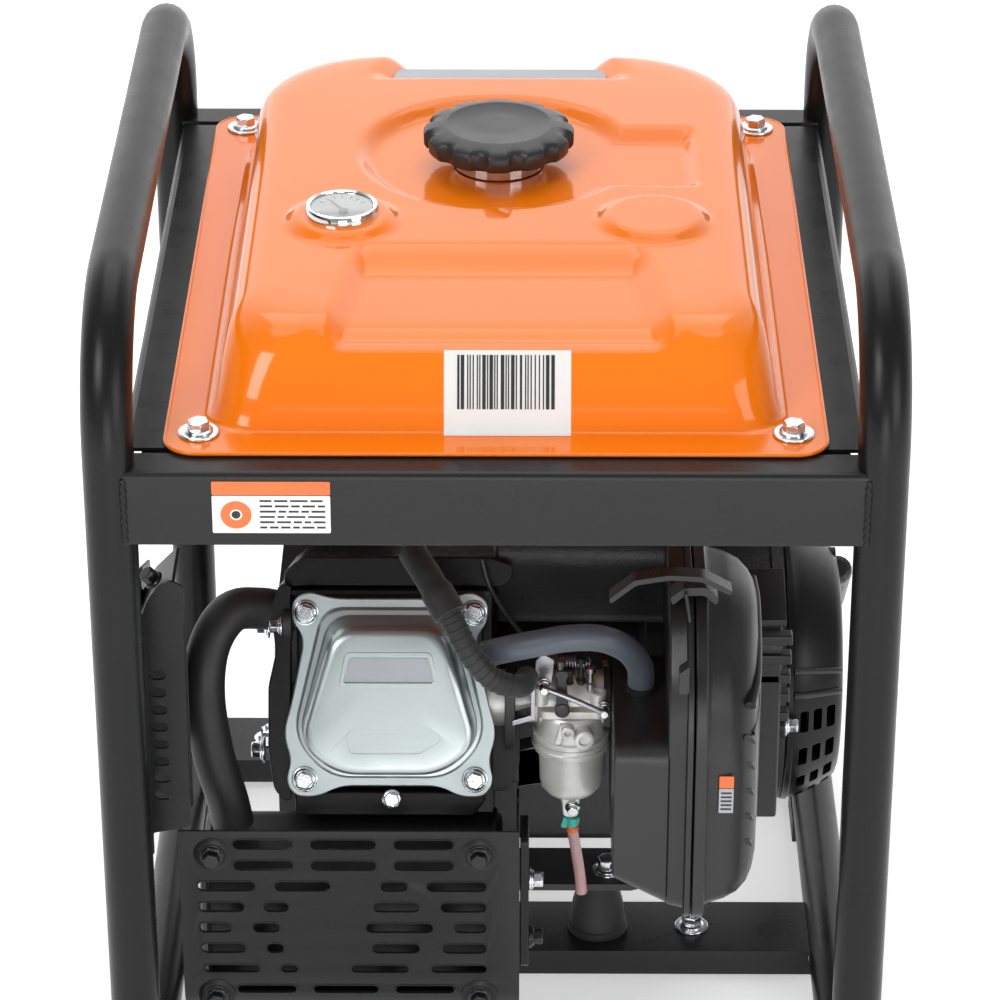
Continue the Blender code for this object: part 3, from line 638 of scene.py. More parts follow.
def build_tank():
    """The pressed upper shell with its seam, and the pan under it, coloured dark red as painted shade."""
    rings = []
    for half, front, rear, front_radius, rear_radius, height in sections():
        outline = section_outline(half, front, rear, front_radius, rear_radius)
        rings.append([(x, y, FLANGE_TOP + height + pressed_features(x, y)) for x, y in outline])
    edge = [(x, y, TANK_LOW.z) for x, y in section_outline(*DOME_SECTIONS[0][:5])]
    top = piece("tank_top", loft([edge] + rings, cap_low=False), ORANGE, slot="tank_paint",
                replaces="tank_upper_shell", angle=50)
    skin = top.modifiers.new("sheet", "SOLIDIFY")
    skin.thickness, skin.offset = 0.75 * MM, -1
    carve(top, rod((*FILLER.xy, 430), (*FILLER.xy, 490), 24.4, 64))
    seam = [(x, y, TANK_LOW.z + 0.2) for x, y in tank_ring(0.3)]
    tube("tank_seam", seam, 1.0, ORANGE, smooth=0, cyclic=True)

    pan_low = low_high("tank_lower_shell")[0].z + 9
    pan = [(0, TANK_LOW.z - 0.4), (0, TANK_LOW.z - 1.1), (27, TANK_LOW.z - 1.1), (28.5, TANK_LOW.z - 4),
           (30, pan_low + 20), (34, pan_low + 7), (44, pan_low + 1), (60, pan_low)]
    rings = [[(x, y, z) for x, y in tank_ring(inset)] for inset, z in pan]
    inside = [[(x, y, z + 0.8) for x, y in tank_ring(inset + 0.8)] for inset, z in reversed(pan[3:])]
    inside.append([(x, y, TANK_LOW.z - 0.4) for x, y in tank_ring(29.5)])
    # the pan's dark red is painted shade, not its own colour
    piece("tank_pan", loft(rings + inside, cap_low=False, cap_high=False), PAN_PAINTED_SHADE, slot="tank_paint",
          replaces="tank_lower_shell")


def build_cap():
    """The knob: a scalloped skirt under a flat disc."""
    base = low_high("fuel_cap_knob")[0].z
    lobes, count = 12, 240

    def outline(radius, depth, z):
        made = []
        for i in range(count):
            t = 2 * math.pi * i / count
            wave = math.cos(lobes * t)
            notch = max(0.0, -wave) ** 0.6 * depth
            made.append((FILLER.x + (radius - notch) * math.cos(t), FILLER.y + (radius - notch) * math.sin(t), z))
        return made

    levels = (
        (29, 0, 10), (30, 0, 0.2), (36.2, 1.4, 0), (38.4, 2.6, 0.8), (39.8, 3.2, 3.0), (39.9, 3.2, 8.4),
        (38.4, 2.8, 10.6), (35.2, 1.4, 12.0), (30.6, 0, 12.9), (28.2, 0, 13.3), (27.4, 0, 13.3),
        (26.8, 0, 12.8), (12, 0, 12.9),
    )
    rings = [outline(radius, depth, base + z) for radius, depth, z in levels]
    piece("cap_knob", loft(rings), SATIN, "fuel_cap", "black_plastic", "fuel_cap_knob", angle=60)
    dress("fuel_cap_core", RUBBER)
    dress("filler_neck", ZINC)


def build_gauge():
    """The fuel gauge: chromed ring, dial with a pointer, and lens."""
    ring_profile = (
        (11, -22), (11, 1), (18.4, 1), (19.0, 1.6), (19.0, 6.4), (18.3, 7.8), (17.2, 8.2), (16.2, 7.6),
        (15.8, 6.0), (15.8, 4.6),
    )
    base = low_high("fuel_gauge_body")[1].z - 8.2
    centre = (*GAUGE.xy, base)
    piece("gauge_ring", turned(ring_profile, centre, UP, 72), CHROME, slot="chrome_ring",
          replaces="fuel_gauge_body")
    piece("gauge_dial", turned(((15.6, 4.7), (15.6, 5.2)), centre, UP, 48), WHITE)
    marks = []
    for i in range(7):
        t = math.radians(30 + 20 * i)
        ends = [(GAUGE.x + r * math.cos(t), GAUGE.y + r * math.sin(t), base + 5.4) for r in (10.5, 13.2)]
        marks.append(rod(*ends, 0.35, 8))
    marks.append(rod((GAUGE.x + 1, GAUGE.y - 5, base + 5.8), (GAUGE.x - 6, GAUGE.y + 7, base + 5.8), 0.5, 8))
    marks.append(turned(((2.4, 5.2), (2.2, 6.4)), (GAUGE.x + 1, GAUGE.y - 5, base), UP, 20))
    piece("gauge_marks", merged(marks), INK)
    glass = ((15.9, 6.5), (15.9, 7.0), (10, 7.5), (3, 7.7))
    piece("gauge_glass", turned(glass, centre, UP, 48), GLASS, slot="clear_lens",
          replaces="fuel_gauge_lens")


def build_tank_details():
    """The tank's bolts, a plain label with bars, and the plate in the rear notch."""
    for place in PLACES:
        low, high = low_high(f"tank_bolt_{place}")
        x, y = (low.x + high.x) / 2, (low.y + high.y) / 2
        thing = bolt(f"bolt_{place}", (x, y, 413.9), UP, 11.4, 4.6, washer=10.2)
        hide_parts(f"tank_bolt_{place}")
    draped_label("front_label", -25.5, 36.5, -190, -166.5, WHITE, 0.35)
    random.seed(7)
    x = -19.0
    strips = []
    while x < 29.5:
        width = random.choice((0.6, 0.6, 1.1, 1.7))
        strips.append((x, min(x + width, 30)))
        x += width + random.choice((0.6, 0.9, 1.4))
    for i, (x0, x1) in enumerate(strips):
        draped_label(f"label_bar_{i:02d}", x0, x1, -181.5, -169.0, INK, 0.55)
    slab("rear_plate", [(-62, 150), (62, 150), (57, 174), (-57, 174)], 5, "Z", 455.2, 456.4, GREY_PLATE,
         bevel=0.4)


def rim_of(grid):
    """What lies round the edge of a grid, in order."""
    return grid[0] + [row[-1] for row in grid[1:]] + grid[-1][-2::-1] + [row[0] for row in grid[-2:0:-1]]


def draped_label(name, x0, x1, y0, y1, finish, proud):
    """A thin label that follows the dome's front wall."""
    across, along = max(1, int((x1 - x0) / 6)), max(6, int((y1 - y0) / 0.8))
    shape = bmesh.new()
    grids = []
    for offset in (proud * 0.15, proud):
        grid = []
        for j in range(along + 1):
            y = y0 + (y1 - y0) * j / along
            line = [x0 + (x1 - x0) * i / across for i in range(across + 1)]
            grid.append([shape.verts.new((x, y - offset * 0.8, dome_z(x, y) + offset * 0.7)) for x in line])
        grids.append(grid)
    for grid in grids:
        for low, high in zip(grid, grid[1:]):
            for i in range(across):
                shape.faces.new((low[i], low[i + 1], high[i + 1], high[i]))
    low, high = (rim_of(grid) for grid in grids)
    for i in range(len(low)):
        j = (i + 1) % len(low)
        shape.faces.new((low[i], low[j], high[j], high[i]))
    return piece(name, shape, finish, angle=60)


# ---------------------------------------------------------------- engine

CRANK_Y, CRANK_Z = 34, 155
HUB = (0, CRANK_Y, CRANK_Z)
GRIP_MIDDLE = Vector((190, CRANK_Y + 32, CRANK_Z + 32))
LEAN = Matrix.Translation((-56, CRANK_Y, CRANK_Z)) @ Matrix.Rotation(math.radians(-25), 4, "X")
COVER_BASE, COVER_TOP = -171.5, -200


def leaned(shape):
    """Mesh in the cylinder's own frame, turned to where the cylinder leans."""
    bmesh.ops.transform(shape, matrix=LEAN, verts=shape.verts)
    return shape


def lean_bolt(*where, **how):
    """A bolt placed in the cylinder's own frame, turned to where the cylinder leans."""
    bolt(*where, **how).data.transform(Matrix.Scale(MM, 4) @ LEAN @ Matrix.Scale(1 / MM, 4))


def cover_outline(top, widest, bottom, high, hip, low, y, radius=12):
    """The pressed cover's dome: narrow at the top, widest near the bottom, with the lower corners cut back."""
    corners = [(-bottom, low), (bottom, low), (widest, hip), (top, high), (-top, high), (-widest, hip)]
    return [(x, y, z) for x, z in rounded(corners, [radius, radius, radius * 1.6, radius, radius, radius * 1.6],
                                          8)]


def flange_outline(y, grow=0.0):
    """The cover's flange, with a round ear for each bolt and a waist between."""
    side = [(26, -49.5), (38, -55.5), (50, -55), (54.5, -47), (51.5, -36), (56, -22), (52, -8), (45.5, 24),
            (46, 30), (51.5, 38), (51, 48), (43, 52.8), (30, 49)]
    corners = side + [(-x, z) for x, z in reversed(side)]
    made = []
    for x, z in rounded(corners, 8, 6):
        reach = math.hypot(x, z)
        made.append((x * (1 + grow / reach), y, z * (1 + grow / reach)))
    return made


def build_valve_cover():
    """The pressed cover: flange, stepped dome with a framed plate and a low panel, gasket and bolts."""
    flange = [flange_outline(COVER_BASE - depth, grow) for depth,
              grow in ((0, -0.6), (0.5, 0), (1.9, 0), (2.4, -0.6))]
    piece("valve_cover_flange", leaned(loft(flange)), SILVER, slot="pressed_cover", bevel=0.3)
    levels = (
        (35.5, 51.5, 32, 44.5, -24, -45.5, 2.3), (34.9, 50.9, 31.5, 43.9, -24, -44.9, 4.6),
        (34.0, 50.0, 31, 43.0, -24, -44.0, 5.4), (31.6, 48.2, 29, 40.6, -24, -42.6, 5.6),
        (31.0, 47.6, 28.6, 40.0, -24, -42.2, 6.4), (30.4, 47.3, 28.2, 38.6, -24.3, -41.8, 12),
        (29.6, 47.0, 27.8, 36.8, -24.6, -41.4, 20), (29.0, 46.4, 27.2, 35.6, -24.8, -40.8, 24.5),
        (27.8, 45.2, 26, 34.2, -25, -39.6, 27.2), (26.0, 43.4, 24.4, 32.4, -25, -37.8, 28.3),
        (24.4, 41.8, 23, 30.8, -25, -36.2, 28.5), (10, 16, 10, 12, -8, -14, 28.5),
    )
    rings = [cover_outline(*shape, COVER_BASE - depth) for *shape, depth in levels]
    cover = piece("valve_cover_shell", leaned(loft(rings)), SILVER, slot="pressed_cover", replaces="valve_cover",
                  bevel=0.35, angle=28)
    plate = [(-23.5, 7.4), (23.5, 7.4), (20.5, 21), (-20.5, 21)]
    carve(cover, leaned(prism(rounded(plate, 1.6), "Y", COVER_TOP - 5, COVER_TOP + 1.3)))
    inset = [(-22.6, 8.2), (22.6, 8.2), (19.8, 20.2), (-19.8, 20.2)]
    piece("cover_plate", leaned(prism(rounded(inset, 1.2), "Y", COVER_TOP + 0.9, COVER_TOP + 1.6)), GREY_PLATE,
          bevel=0.2)
    low = [(-20, -29.5), (16, -29.5), (27, -23), (26, -18.3), (-22, -18.3)]
    carve(cover, leaned(prism(rounded(low, 3), "Y", COVER_TOP - 5, COVER_TOP + 0.4)))
    rim_edge = [(-25.8, 5.2), (25.8, 5.2), (22.3, 23.2), (-22.3, 23.2)]
    rim = piece("cover_plate_rim", leaned(prism(rounded(rim_edge, 3), "Y", COVER_TOP - 0.3, COVER_TOP + 0.6)),
                SILVER, bevel=0.3)
    carve(rim, leaned(prism(rounded(plate, 1.6), "Y", COVER_TOP - 5, COVER_TOP + 5)))
    for i, (x, z) in enumerate(((-44, 41.5), (44, 41.5), (-44.5, -46), (44.5, -46))):
        lean_bolt(f"cover_bolt_{i}", (x, COVER_BASE - 2.5, z), FRONT, 9.6, 5.2, washer=6.8)
    gasket = [flange_outline(COVER_BASE + y, -1) for y in (1.1, 0.1)]
    piece("cover_gasket", leaned(loft(gasket)), INK)
    lean_bolt("head_nut", (1, -172.5, -56.5), FRONT, 8.5, 4.5)


def build_cylinder():
    """The engine's castings, the fins on its leaning cylinder, and the cowl round them."""
    dress("engine_block", CAST)
    dress("crankcase_cover", CAST)
    dress("cylinder_head", CAST)
    for i, y in enumerate(range(-124, -160, -7)):
        piece(f"head_fin_{i}", leaned(block((-53, y, -52), (53, y + 1.8, 52))), CAST, bevel=0.5)
    for i, y in enumerate((-94, -106)):
        piece(f"barrel_fin_{i}", leaned(block((-51, y, -51), (51, y + 2, 51))), CAST, bevel=0.5)
    # the cowl that guides air round the head, in four plates
    for name, outline, radius, front, back in (
        ("cowl_left", [(-61, -52), (-56, -58), (-52, -58), (-52, 56), (-58, 56), (-63, 44), (-60, 20),
                       (-64, 2), (-64, -30)],
         3, -168, -96),
        ("cowl_top", [(-56, 54), (58, 54), (64, 58), (64, 66), (52, 70), (-46, 70), (-56, 62)], 3, -160, -70),
        ("cowl_under", [(-50, -66), (44, -66), (50, -58), (50, -53.5), (-50, -53.5)], 2, -166, -100),
        ("cowl_right", [(53.5, -54), (62, -54), (68, -40), (68, -6), (60, 6), (53.5, 10)], 3, -158, -110),
    ):
        piece(name, leaned(prism(rounded(outline, radius), "Y", front, back)), PAINT, bevel=1.2)
    for i, place in enumerate(((-66, -120, 30), (-68, -128, -36))):
        side = bolt(f"cowl_bolt_{i}", LEAN @ Vector(place), (-1, 0, 0), 9, 5, washer=7)


def build_ignition():
    """The spark plug's boot and its ribbed lead."""
    boot = ((-44, -112, 306), (-35, -126, 298), (-24, -139, 284))
    fat = smooth_path(boot, 8)
    widths = [1.0 if i < len(fat) * 0.62 else 1.16 for i in range(len(fat))]
    tube("boot", fat, 7.5, RUBBER, replaces="spark_plug_boot", smooth=0, radii=widths)
    lead = ((-26, -137, 286), (-23.2, -140.3, 282.6), (-14, -147, 266), (-2, -148, 251), (12, -142, 243),
            (16, -130, 242))
    tube("lead", lead, 6.0, RUBBER, replaces="spark_plug_lead", smooth=7)
    ribs = smooth_path(lead, 14)
    for i in range(10, 50, 3):
        a, b = Vector(ribs[i]), Vector(ribs[i + 1])
        piece(f"lead_rib_{i}", rod(a, a + (b - a).normalized(), 6.35, 28), RUBBER, bevel=0.3)


def build_exhaust():
    """The pipe with its flange, and the muffler's shell with a seam at each end."""
    pipe = (
        (-106.5, -88, 256), (-114, -88.4, 256.4), (-124, -93, 261), (-139, -104, 265), (-150, -116, 252),
        (-153, -126, 228), (-149, -133, 198), (-142, -138, 172), (-139, -139, 156),
    )
    tube("pipe", pipe, 11, DULL, replaces="exhaust_pipe", smooth=7)
    plate = prism(rounded(rect(-20, 20, -9, 9), 8), "X", -112.5, -107.5)
    bmesh.ops.transform(plate, matrix=Matrix.Translation((0, -88, 256)), verts=plate.verts)
    piece("pipe_flange", plate, DULL, bevel=0.8)
    for i, y in enumerate((-102, -74)):
        bolt(f"flange_nut_{i}", (-112.5, y, 256), (-1, 0, 0), 8.5, 5, washer=6)
    outline = round_rect(-176, -104, 64, 151, 20, 8)
    piece("muffler_shell", prism(outline, "X", -155, 3), DULL, slot="heat_black", replaces="muffler_body",
          bevel=4,
          segments=4)
    for i, x in enumerate((-151, -1)):
        seam = [(x, y, z) for y, z in round_rect(-177, -103, 63, 152, 21, 6)]
        tube(f"muffler_seam_{i}", seam, 1.4, DULL, smooth=0, cyclic=True)


def slot_outline(x0, x1, z, tall, grow=0.0):
    """A slot with round ends."""
    half = tall / 2
    return arc((x1 - half, z), half + grow, 90, -90, 6) + arc((x0 + half, z), half + grow, 270, 90, 6)


def build_guard():
    """The muffler guard: a bent sheet whose slots have rims pressed inwards."""
    y, thick, low, top, bend = -186.0, 1.4, 54.0, 182, 34
    outer = [(y, top)] + arc((y + bend, low + bend), bend, 180, 262, 14)
    inner = arc((y + bend, low + bend), bend - thick, 262, 180, 14) + [(y + thick, top)]
    sheet = piece("guard_sheet", prism(outer + inner, "X", -164, 12), PAINT, slot="black_paint",
                  replaces="muffler_guard", angle=35)
    long_row = ((-136, -105), (-96, -62), (-53, -22))
    rows = {
        0: long_row, 1: long_row, 7: long_row,
        2: ((-155, -125), (-115, -86), (-60, -46), (-36, -5)),
        3: ((-155, -131), (-121, -108), (-64, -40), (-29, -5)),
        4: ((-155, -138), (-127, -113), (-68, -33), (-22, -5)),
        5: ((-154, -131), (-120, -111), (-65, -40), (-28, -5)),
        6: ((-153, -124), (-113, -104), (-76, -46), (-34, -5)),
    }
    slots = []
    for i, spans in rows.items():
        z = 174 - 12.9 * i if i < 7 else 83.7
        tall = 5.8 if i < 6 else 4.6
        slots += [(x0, x1, z, tall) for x0, x1 in spans]
    carve(sheet, *(prism(slot_outline(*slot), "Y", y - 5, y + 5) for slot in slots))
    for i, slot in enumerate(slots):
        loop = [(x, y + 0.15, z) for x, z in slot_outline(*slot, grow=0.35)]
        tube(f"slot_rim_{i:02d}", loop, 0.5, PAINT, smooth=0, cyclic=True)
    side = [(y + 0.6, 84), (y + 36, 84), (y + 36, 178), (y + 0.6, 182)]
    slab("guard_side", side, 1.5, "X", 10.5, 11.9, PAINT, bevel=0.4)
    low_side = [(y + 36.2, 88), (y + 70, 88), (y + 70, 165), (y + 36.2, 172)]
    slab("guard_side_rear", low_side, 1.5, "X", 10.4, 11.7, PAINT, bevel=0.4)
    for i, (x, z) in enumerate(((-147, 168), (-9, 168), (-147, 80), (-9, 80))):
        dent = turned(((9.6, 0.2), (8.8, 0.6), (7.4, 1.2), (6.8, 1.3), (6.8, 0.2)), (x, y - 0.05, z), FRONT, 36)
        piece(f"guard_dimple_{i}", dent, PAINT)
        bolt(f"guard_bolt_{i}", (x, y - 0.6, z), FRONT, 9.4, 4.6, washer=6.6, finish=PAINT_BOLT)
    bracket = [(-184, 96), (-146, 96), (-146, 168), (-184, 176)]
    slab("muffler_bracket", bracket, 4, "X", 12.3, 16.8, PAINT, bevel=0.6)
    bolt("bracket_nut_upper", (17, -166, 140), RIGHT, 8.5, 5, washer=6)
    bolt("bracket_nut_lower", (17, -172, 108), RIGHT, 8.5, 5, washer=6, finish=PAINT_BOLT)


def build_shield():
    """The shield beside the exhaust pipe, with a column of slots."""
    edge = [(-181, 168), (-176.4, 168), (-176.4, 181), (-157, 185), (-156.6, 300), (-155.4, 326),
            (-163.4, 331), (-173, 322), (-181, 300)]
    face = slab("shield_face", edge, [0.8, 0.8, 1, 3, 8, 2, 6, 10, 8], "Y", -186, -184.6, PAINT,
                slot="black_paint",
                replaces="exhaust_side_shield", angle=35)
    slots = [slot_outline(-174.8, -166.4, 204 + 10.2 * i, 5.6) for i in range(8)]
    carve(face, *(prism(outline, "Y", -190, -180) for outline in slots))
    slab("shield_liner", rect(-179, -158, 178, 300), 3, "Y", -158, -156.5, DULL, bevel=0.4)
    wall = [(-184.9, 197), (-110, 197), (-110, 300), (-150, 318), (-184.9, 300)]
    slab("shield_side", wall, 3, "X", -180.9, -179.5, PAINT, bevel=0.4)
    lip = [(-184.9, 301), (-176, 318), (-165, 329.5), (-163.5, 328.5), (-174.5, 317), (-183.4, 300)]
    piece("shield_top", prism([(x + 3.5, z) for x, z in lip], "Y", -184.5, -150), PAINT, bevel=0.3)
    bolt("shield_bolt", (-171.5, -172, 322.5), (-0.6, -0.25, 0.75), 8.5, 6, finish=PAINT_BOLT)


# ---------------------------------------------------------------- carburettor, hoses and air cleaner

BOWL = Vector((39, -112, 0))
DRAIN_ROUTE = ((39, -112, 146.7), (40, -112.4, 138), (42.5, -113.2, 122), (44.5, -114, 108), (45.5, -114, 97))


def build_carburettor():
    """The throat across, the body and float bowl upright, and the linkage and choke in front."""
    throat = ((10, 0), (15, 0), (15, 13), (13, 14), (13, 27), (15, 28), (15, 62.5), (10, 62.5))
    piece("carb_throat", turned(throat, (-5.9, -108, 216), RIGHT, 48, closed=True), CARB, slot="carburettor_zinc",
          replaces="carburetor_body", bevel=0.3)
    middle = ((9, 196.9), (20.6, 196.9), (20.6, 199.5), (18.8, 200.5), (18.4, 212), (17, 214), (9, 214))
    piece("carb_middle", turned(middle, BOWL, UP, 72), CARB, bevel=0.3)
    deck = [(22, -128), (56, -128), (58, -118), (58, -94), (22, -94)]
    slab("carb_deck", deck, 4, "Z", 214.2, 219, CARB, bevel=0.8)
    for name, centre, axis, radius, depth in (
        ("mix_screw", (45, -129.5, 206), (0.12, -1, 0.1), 5.2, 7),
        ("idle_boss", (37, -130, 210.5), FRONT, 3.4, 5),
        ("left_boss", (22.5, -124, 222), UP, 4.2, 11), ("right_boss", (53, -122, 219), UP, 4.4, 9),
    ):
        profile = ((radius * 0.55, 0), (radius, 0.2), (radius, depth), (radius * 0.85, depth + 0.5),
                   (radius * 0.62, depth + 0.5), (radius * 0.6, depth - 1.6))
        piece(name, turned(profile, centre, axis, 28), CARB)
    rib = [(30, 201), (33, 213), (36, 213), (33.5, 201)]
    piece("carb_rib", prism(rib, "Y", -131.6, -126), CARB, bevel=0.6)
    bowl = ((2.4, 147.2), (3.0, 152), (5, 154.5), (5.4, 159), (9, 160.5), (13.4, 163), (16.8, 167.5),
            (18.2, 173), (18.6, 189), (18.6, 190), (20.6, 190.8), (20.9, 192), (20.9, 193.6), (20.3, 194.2),
            (20.3, 196.5))
    piece("bowl_shell", turned(bowl, BOWL, UP, 72), CARB, slot="carburettor_zinc", replaces="float_bowl")
    piece("bowl_gasket", turned(rect(19.4, 19.9, 196.5, 196.9), BOWL, UP, 64, closed=True), INK)
    slab("drain_boss", [(35, 152), (43, 152), (44, 164), (34, 164)], 2.5, "Y", -125, -112, CARB, bevel=1.0)
    bolt("drain_screw", (40, -125, 158.5), (0, -1, -0.25), 6.5, 2.6)

    # throttle lever's steel link over the front, on its two posts
    tube("link_rod", ((25.5, -133, 236), (38, -134.6, 231.5), (55.5, -134.8, 223)), 1.5, STEEL,
         smooth=5)
    for i, (x, z) in enumerate(((24.5, 236.5), (56, 222.5))):
        bolt(f"link_post_{i}", (x, -128, z), FRONT, 5.2, 6.4, washer=3.6)
    spring, coils, steps = [], 15, 160
    for i in range(steps + 1):
        t = i / steps
        angle = 2 * math.pi * coils * t
        spring.append((27 + 22 * t, -112 + 3.2 * math.cos(angle), 241 - 1.5 * t + 3.2 * math.sin(angle)))
    tube("governor_spring", spring, 0.5, STEEL, smooth=0)
    stop_plate = [(20, 228), (28, 228), (30, 246), (24, 250), (20, 246)]
    slab("throttle_stop", stop_plate, 1, "Y", -121, -119.6, STEEL, bevel=0.3)
    for i, (x, y, z, tall, finish) in enumerate((
        (33, -117, 226, 18, STEEL), (44, -114, 222, 22, PLASTIC), (49, -117, 224, 16, STEEL),
        (38, -114, 224, 13, INK),
    )):
        post = ((1.3, 0), (2.6, 0.2), (2.6, tall * 0.4), (1.6, tall * 0.45), (1.6, tall - 3),
                (2.8, tall - 2.8), (2.8, tall), (1.4, tall + 0.4))
        piece(f"linkage_post_{i}", turned(post, (x, y, z), UP, 20), finish)
    tube("earth_wire", ((21, -112, 246), (6, -104, 262), (-4, -96, 276), (-8, -92, 290)), 1.3, PLASTIC, smooth=5)

    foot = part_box("choke_lever")[0][2] / MM + 1
    arm = [(30.5, foot), (37.5, foot), (36.2, 240), (37.6, 244.5), (35.6, 245.8), (31.4, 245.8), (30, 243),
           (31.6, 240)]
    slab("choke_arm", arm, 1.3, "Y", -131.4, -129.6, SATIN, "choke_lever", "black_plastic", "choke_lever",
         bevel=0.5)
    hub = turned(((2, -128.6), (4, -128.8), (4, -132.0), (3.2, -132.4), (1.2, -132.4)), (34, 0, 222), (0, 1, 0),
                 28)
    piece("choke_hub", hub, SATIN, "choke_lever")
    # bracket that holds the linkage, left of the bowl
    arm_plate = [(8, 186), (22, 190), (22, 193), (11, 190), (11, 168), (24, 170), (24, 173), (8, 171)]
    piece("carb_bracket", prism(arm_plate, "Y", -120, -108), STEEL, bevel=0.4)
    clip = [(8, 214), (20, 218), (20, 236), (17.6, 236), (17.6, 220.5), (8, 217)]
    piece("carb_clip", prism(clip, "Y", -134, -124), STEEL, bevel=0.4)
    spacer = slab("insulator", rect(-132, -88, 196, 236), 6, "X", 4, 9.5, PLASTIC, bevel=0.6)
    carve(spacer, rod((0, -108, 216), (20, -108, 216), 15.3, 32))


def build_hoses():
    """The drain hose hanging from the bowl with its clip, and the breather hose."""
    drain = tube("drain", DRAIN_ROUTE, 3.0, PINK, replaces="fuel_drain_hose", smooth=6)
    clip = ((3.1, 0), (4.0, 0.2), (4.3, 1.5), (4.1, 5.6), (3.1, 6))
    piece("teal_clip", turned(clip, (39.4, -112.2, 139.6), (0.1, -0.04, 1), 28), TEAL)
    tail = [(33.8, 140), (37, 139), (37.5, 144.5), (35.5, 146.5)]
    slab("clip_tail", tail, 1, "Y", -116, -113.4, TEAL, bevel=0.4)
    band = ((3.05, 0), (3.3, 0.3), (3.3, 3.4), (3.05, 3.7))
    piece("orange_band", turned(band, (40.0, -112.4, 135.4), (0.12, -0.03, 1), 28), LABEL_ORANGE)

    breather = (
        (-5, -124, 252), (6, -136, 262), (20, -141, 268), (38, -142, 272), (54, -141, 271), (67, -136, 262),
        (74, -129, 248), (75, -126.5, 235.5),
    )
    tube("breather", breather, 7, HOSE, replaces="breather_hose", smooth=8)


def face_outline(x, inset, radius, taper=12):
    """The air cleaner's outline across Y and Z; the top front corner is cut back by taper."""
    y0, y1, z0, z1 = -190 + inset, -76 - inset, 126 + inset, 304 - inset
    corners = [(y0, z0), (y1, z0), (y1, z1), (y0 + taper * 3.6, z1), (y0, z1 - taper * 4)]
    sizes = [radius, radius, radius, radius * 1.6, radius * 1.8]
    return [(x, y, z) for y, z in rounded(corners, sizes, 9)]


def build_air_cleaner():
    """The case, its cover, the spring clip over their joint, a plain label, and the foam inside."""
    # the case is a tray against the joint flange, deepening to the left over its lower half
    tray = [face_outline(x, inset, 12, 10) for x, inset in ((87.5, 7), (88.5, 6), (97.2, 4.5))]
    piece("case_tray", loft(tray), PLASTIC, slot="black_plastic", replaces="air_cleaner_case", bevel=0.8)
    left = ((60, -184, 150, 231, 10), (60.8, -184.6, 149, 232, 10), (88, -184.8, 133, 233, 12))
    box_rings = [[(x, y, z) for y, z in round_rect(front, -84, low, high, r, 8)] for x, front, low, high,
                 r in left]
    piece("case_box", loft(box_rings), PLASTIC, bevel=1.0)
    elbow = ((10.5, 0), (17, 0), (17, 3.4), (14, 4), (14, 7))
    piece("intake_collar", turned(elbow, (55.9, -108, 216), RIGHT, 40), PLASTIC)
    stub = ((5.6, 0), (8.6, 0), (8.6, 3), (8, 3.4), (5.6, 3.4))
    piece("breather_stub", turned(stub, (75, -126.5, 232), UP, 32), PLASTIC)
    flange = ((97.0, 2.2, 14), (97.4, 0.6, 15), (100.1, 0.6, 15), (100.5, 1.4, 14))
    piece("case_flange", loft([face_outline(*level) for level in flange]), PLASTIC, bevel=0.3)
    dome = (
        (101.3, 1.4, 14), (101.7, 0.5, 15), (107.0, 0.5, 15), (107.6, 1.2, 15), (107.8, 5.0, 14), (110, 6.0, 14),
        (118, 7.2, 16), (125, 9.5, 18), (130, 13, 20), (133, 17.5, 22), (134.6, 23, 22), (135, 30, 20),
    )
    piece("cover_shell", loft([face_outline(*level) for level in dome]), PLASTIC, "air_cleaner_cover",
          "black_plastic", "air_cleaner_cover", bevel=0.5)
    for i in range(6):
        z = 268 - 16.5 * i
        route = ((129.6, -172, z - 18), (133.0, -155, z - 12), (134.2, -130, z - 2), (134.2, -108, z + 8),
                 (132.6, -96, z + 14))
        tube(f"cover_rib_{i}", route, 2.7, PLASTIC, body="air_cleaner_cover", smooth=4)
    for i in range(5):
        z = 236 - 15.5 * i
        fin = [(126.5, z), (131.6, z - 2.4), (132.4, z - 5.5), (126.5, z - 3.0)]
        slab(f"cover_louvre_{i}", fin, 0.6, "Y", -178, -150, PLASTIC, "air_cleaner_cover", bevel=0.5)

    hook = [(88, 300), (95, 306), (106, 306.5), (113, 300), (112, 296), (105.5, 301.8), (95.5, 301.4),
            (89.5, 296)]
    slab("clip_hook", hook, 1.5, "Y", -150, -138, SATIN, bevel=0.6)
    strap = [(58, 296), (71, 307), (88, 310), (104, 309), (119, 301), (120, 303.6), (105, 312), (88, 313),
             (70, 310), (57, 299)]
    slab("clip_strap", strap, 2, "Y", -149, -139.5, SATIN, bevel=0.7)
    tube("clip_wire", ((96, -152, 304), (98, -156, 292), (99, -158, 280)), 1.0, SATIN, smooth=4)
    buckle = [(92, 268), (97, 268), (97, 284), (92, 280)]
    slab("clip_buckle", buckle, 1, "Y", -191, -183, SATIN, bevel=0.5)

    for colour, z0, z1, finish in (("orange", 208, 215, LABEL_ORANGE), ("grey", 193, 207.6, GREY_PLATE)):
        slab(f"cover_label_{colour}", rect(114, 121.5, z0, z1), 0.6, "Y", -184.3, -183.4, finish,
             "air_cleaner_cover",
             bevel=0.1)
    for i in range(5):
        z = 195 + 2.4 * i
        bar = prism(rect(115, 120.5, z, z + 0.9), "Y", -184.5, -184.2)
        piece(f"cover_label_bar_{i}", bar, INK, "air_cleaner_cover")
    pad = [(-166, 142), (-92, 142), (-92, 284), (-140, 284), (-166, 256)]
    slab("foam_pad", pad, 8, "X", 89.2, 96.8, FOAM, slot="foam", replaces="filter_element", bevel=1)


# ---------------------------------------------------------------- starter side, mounts and rear controls


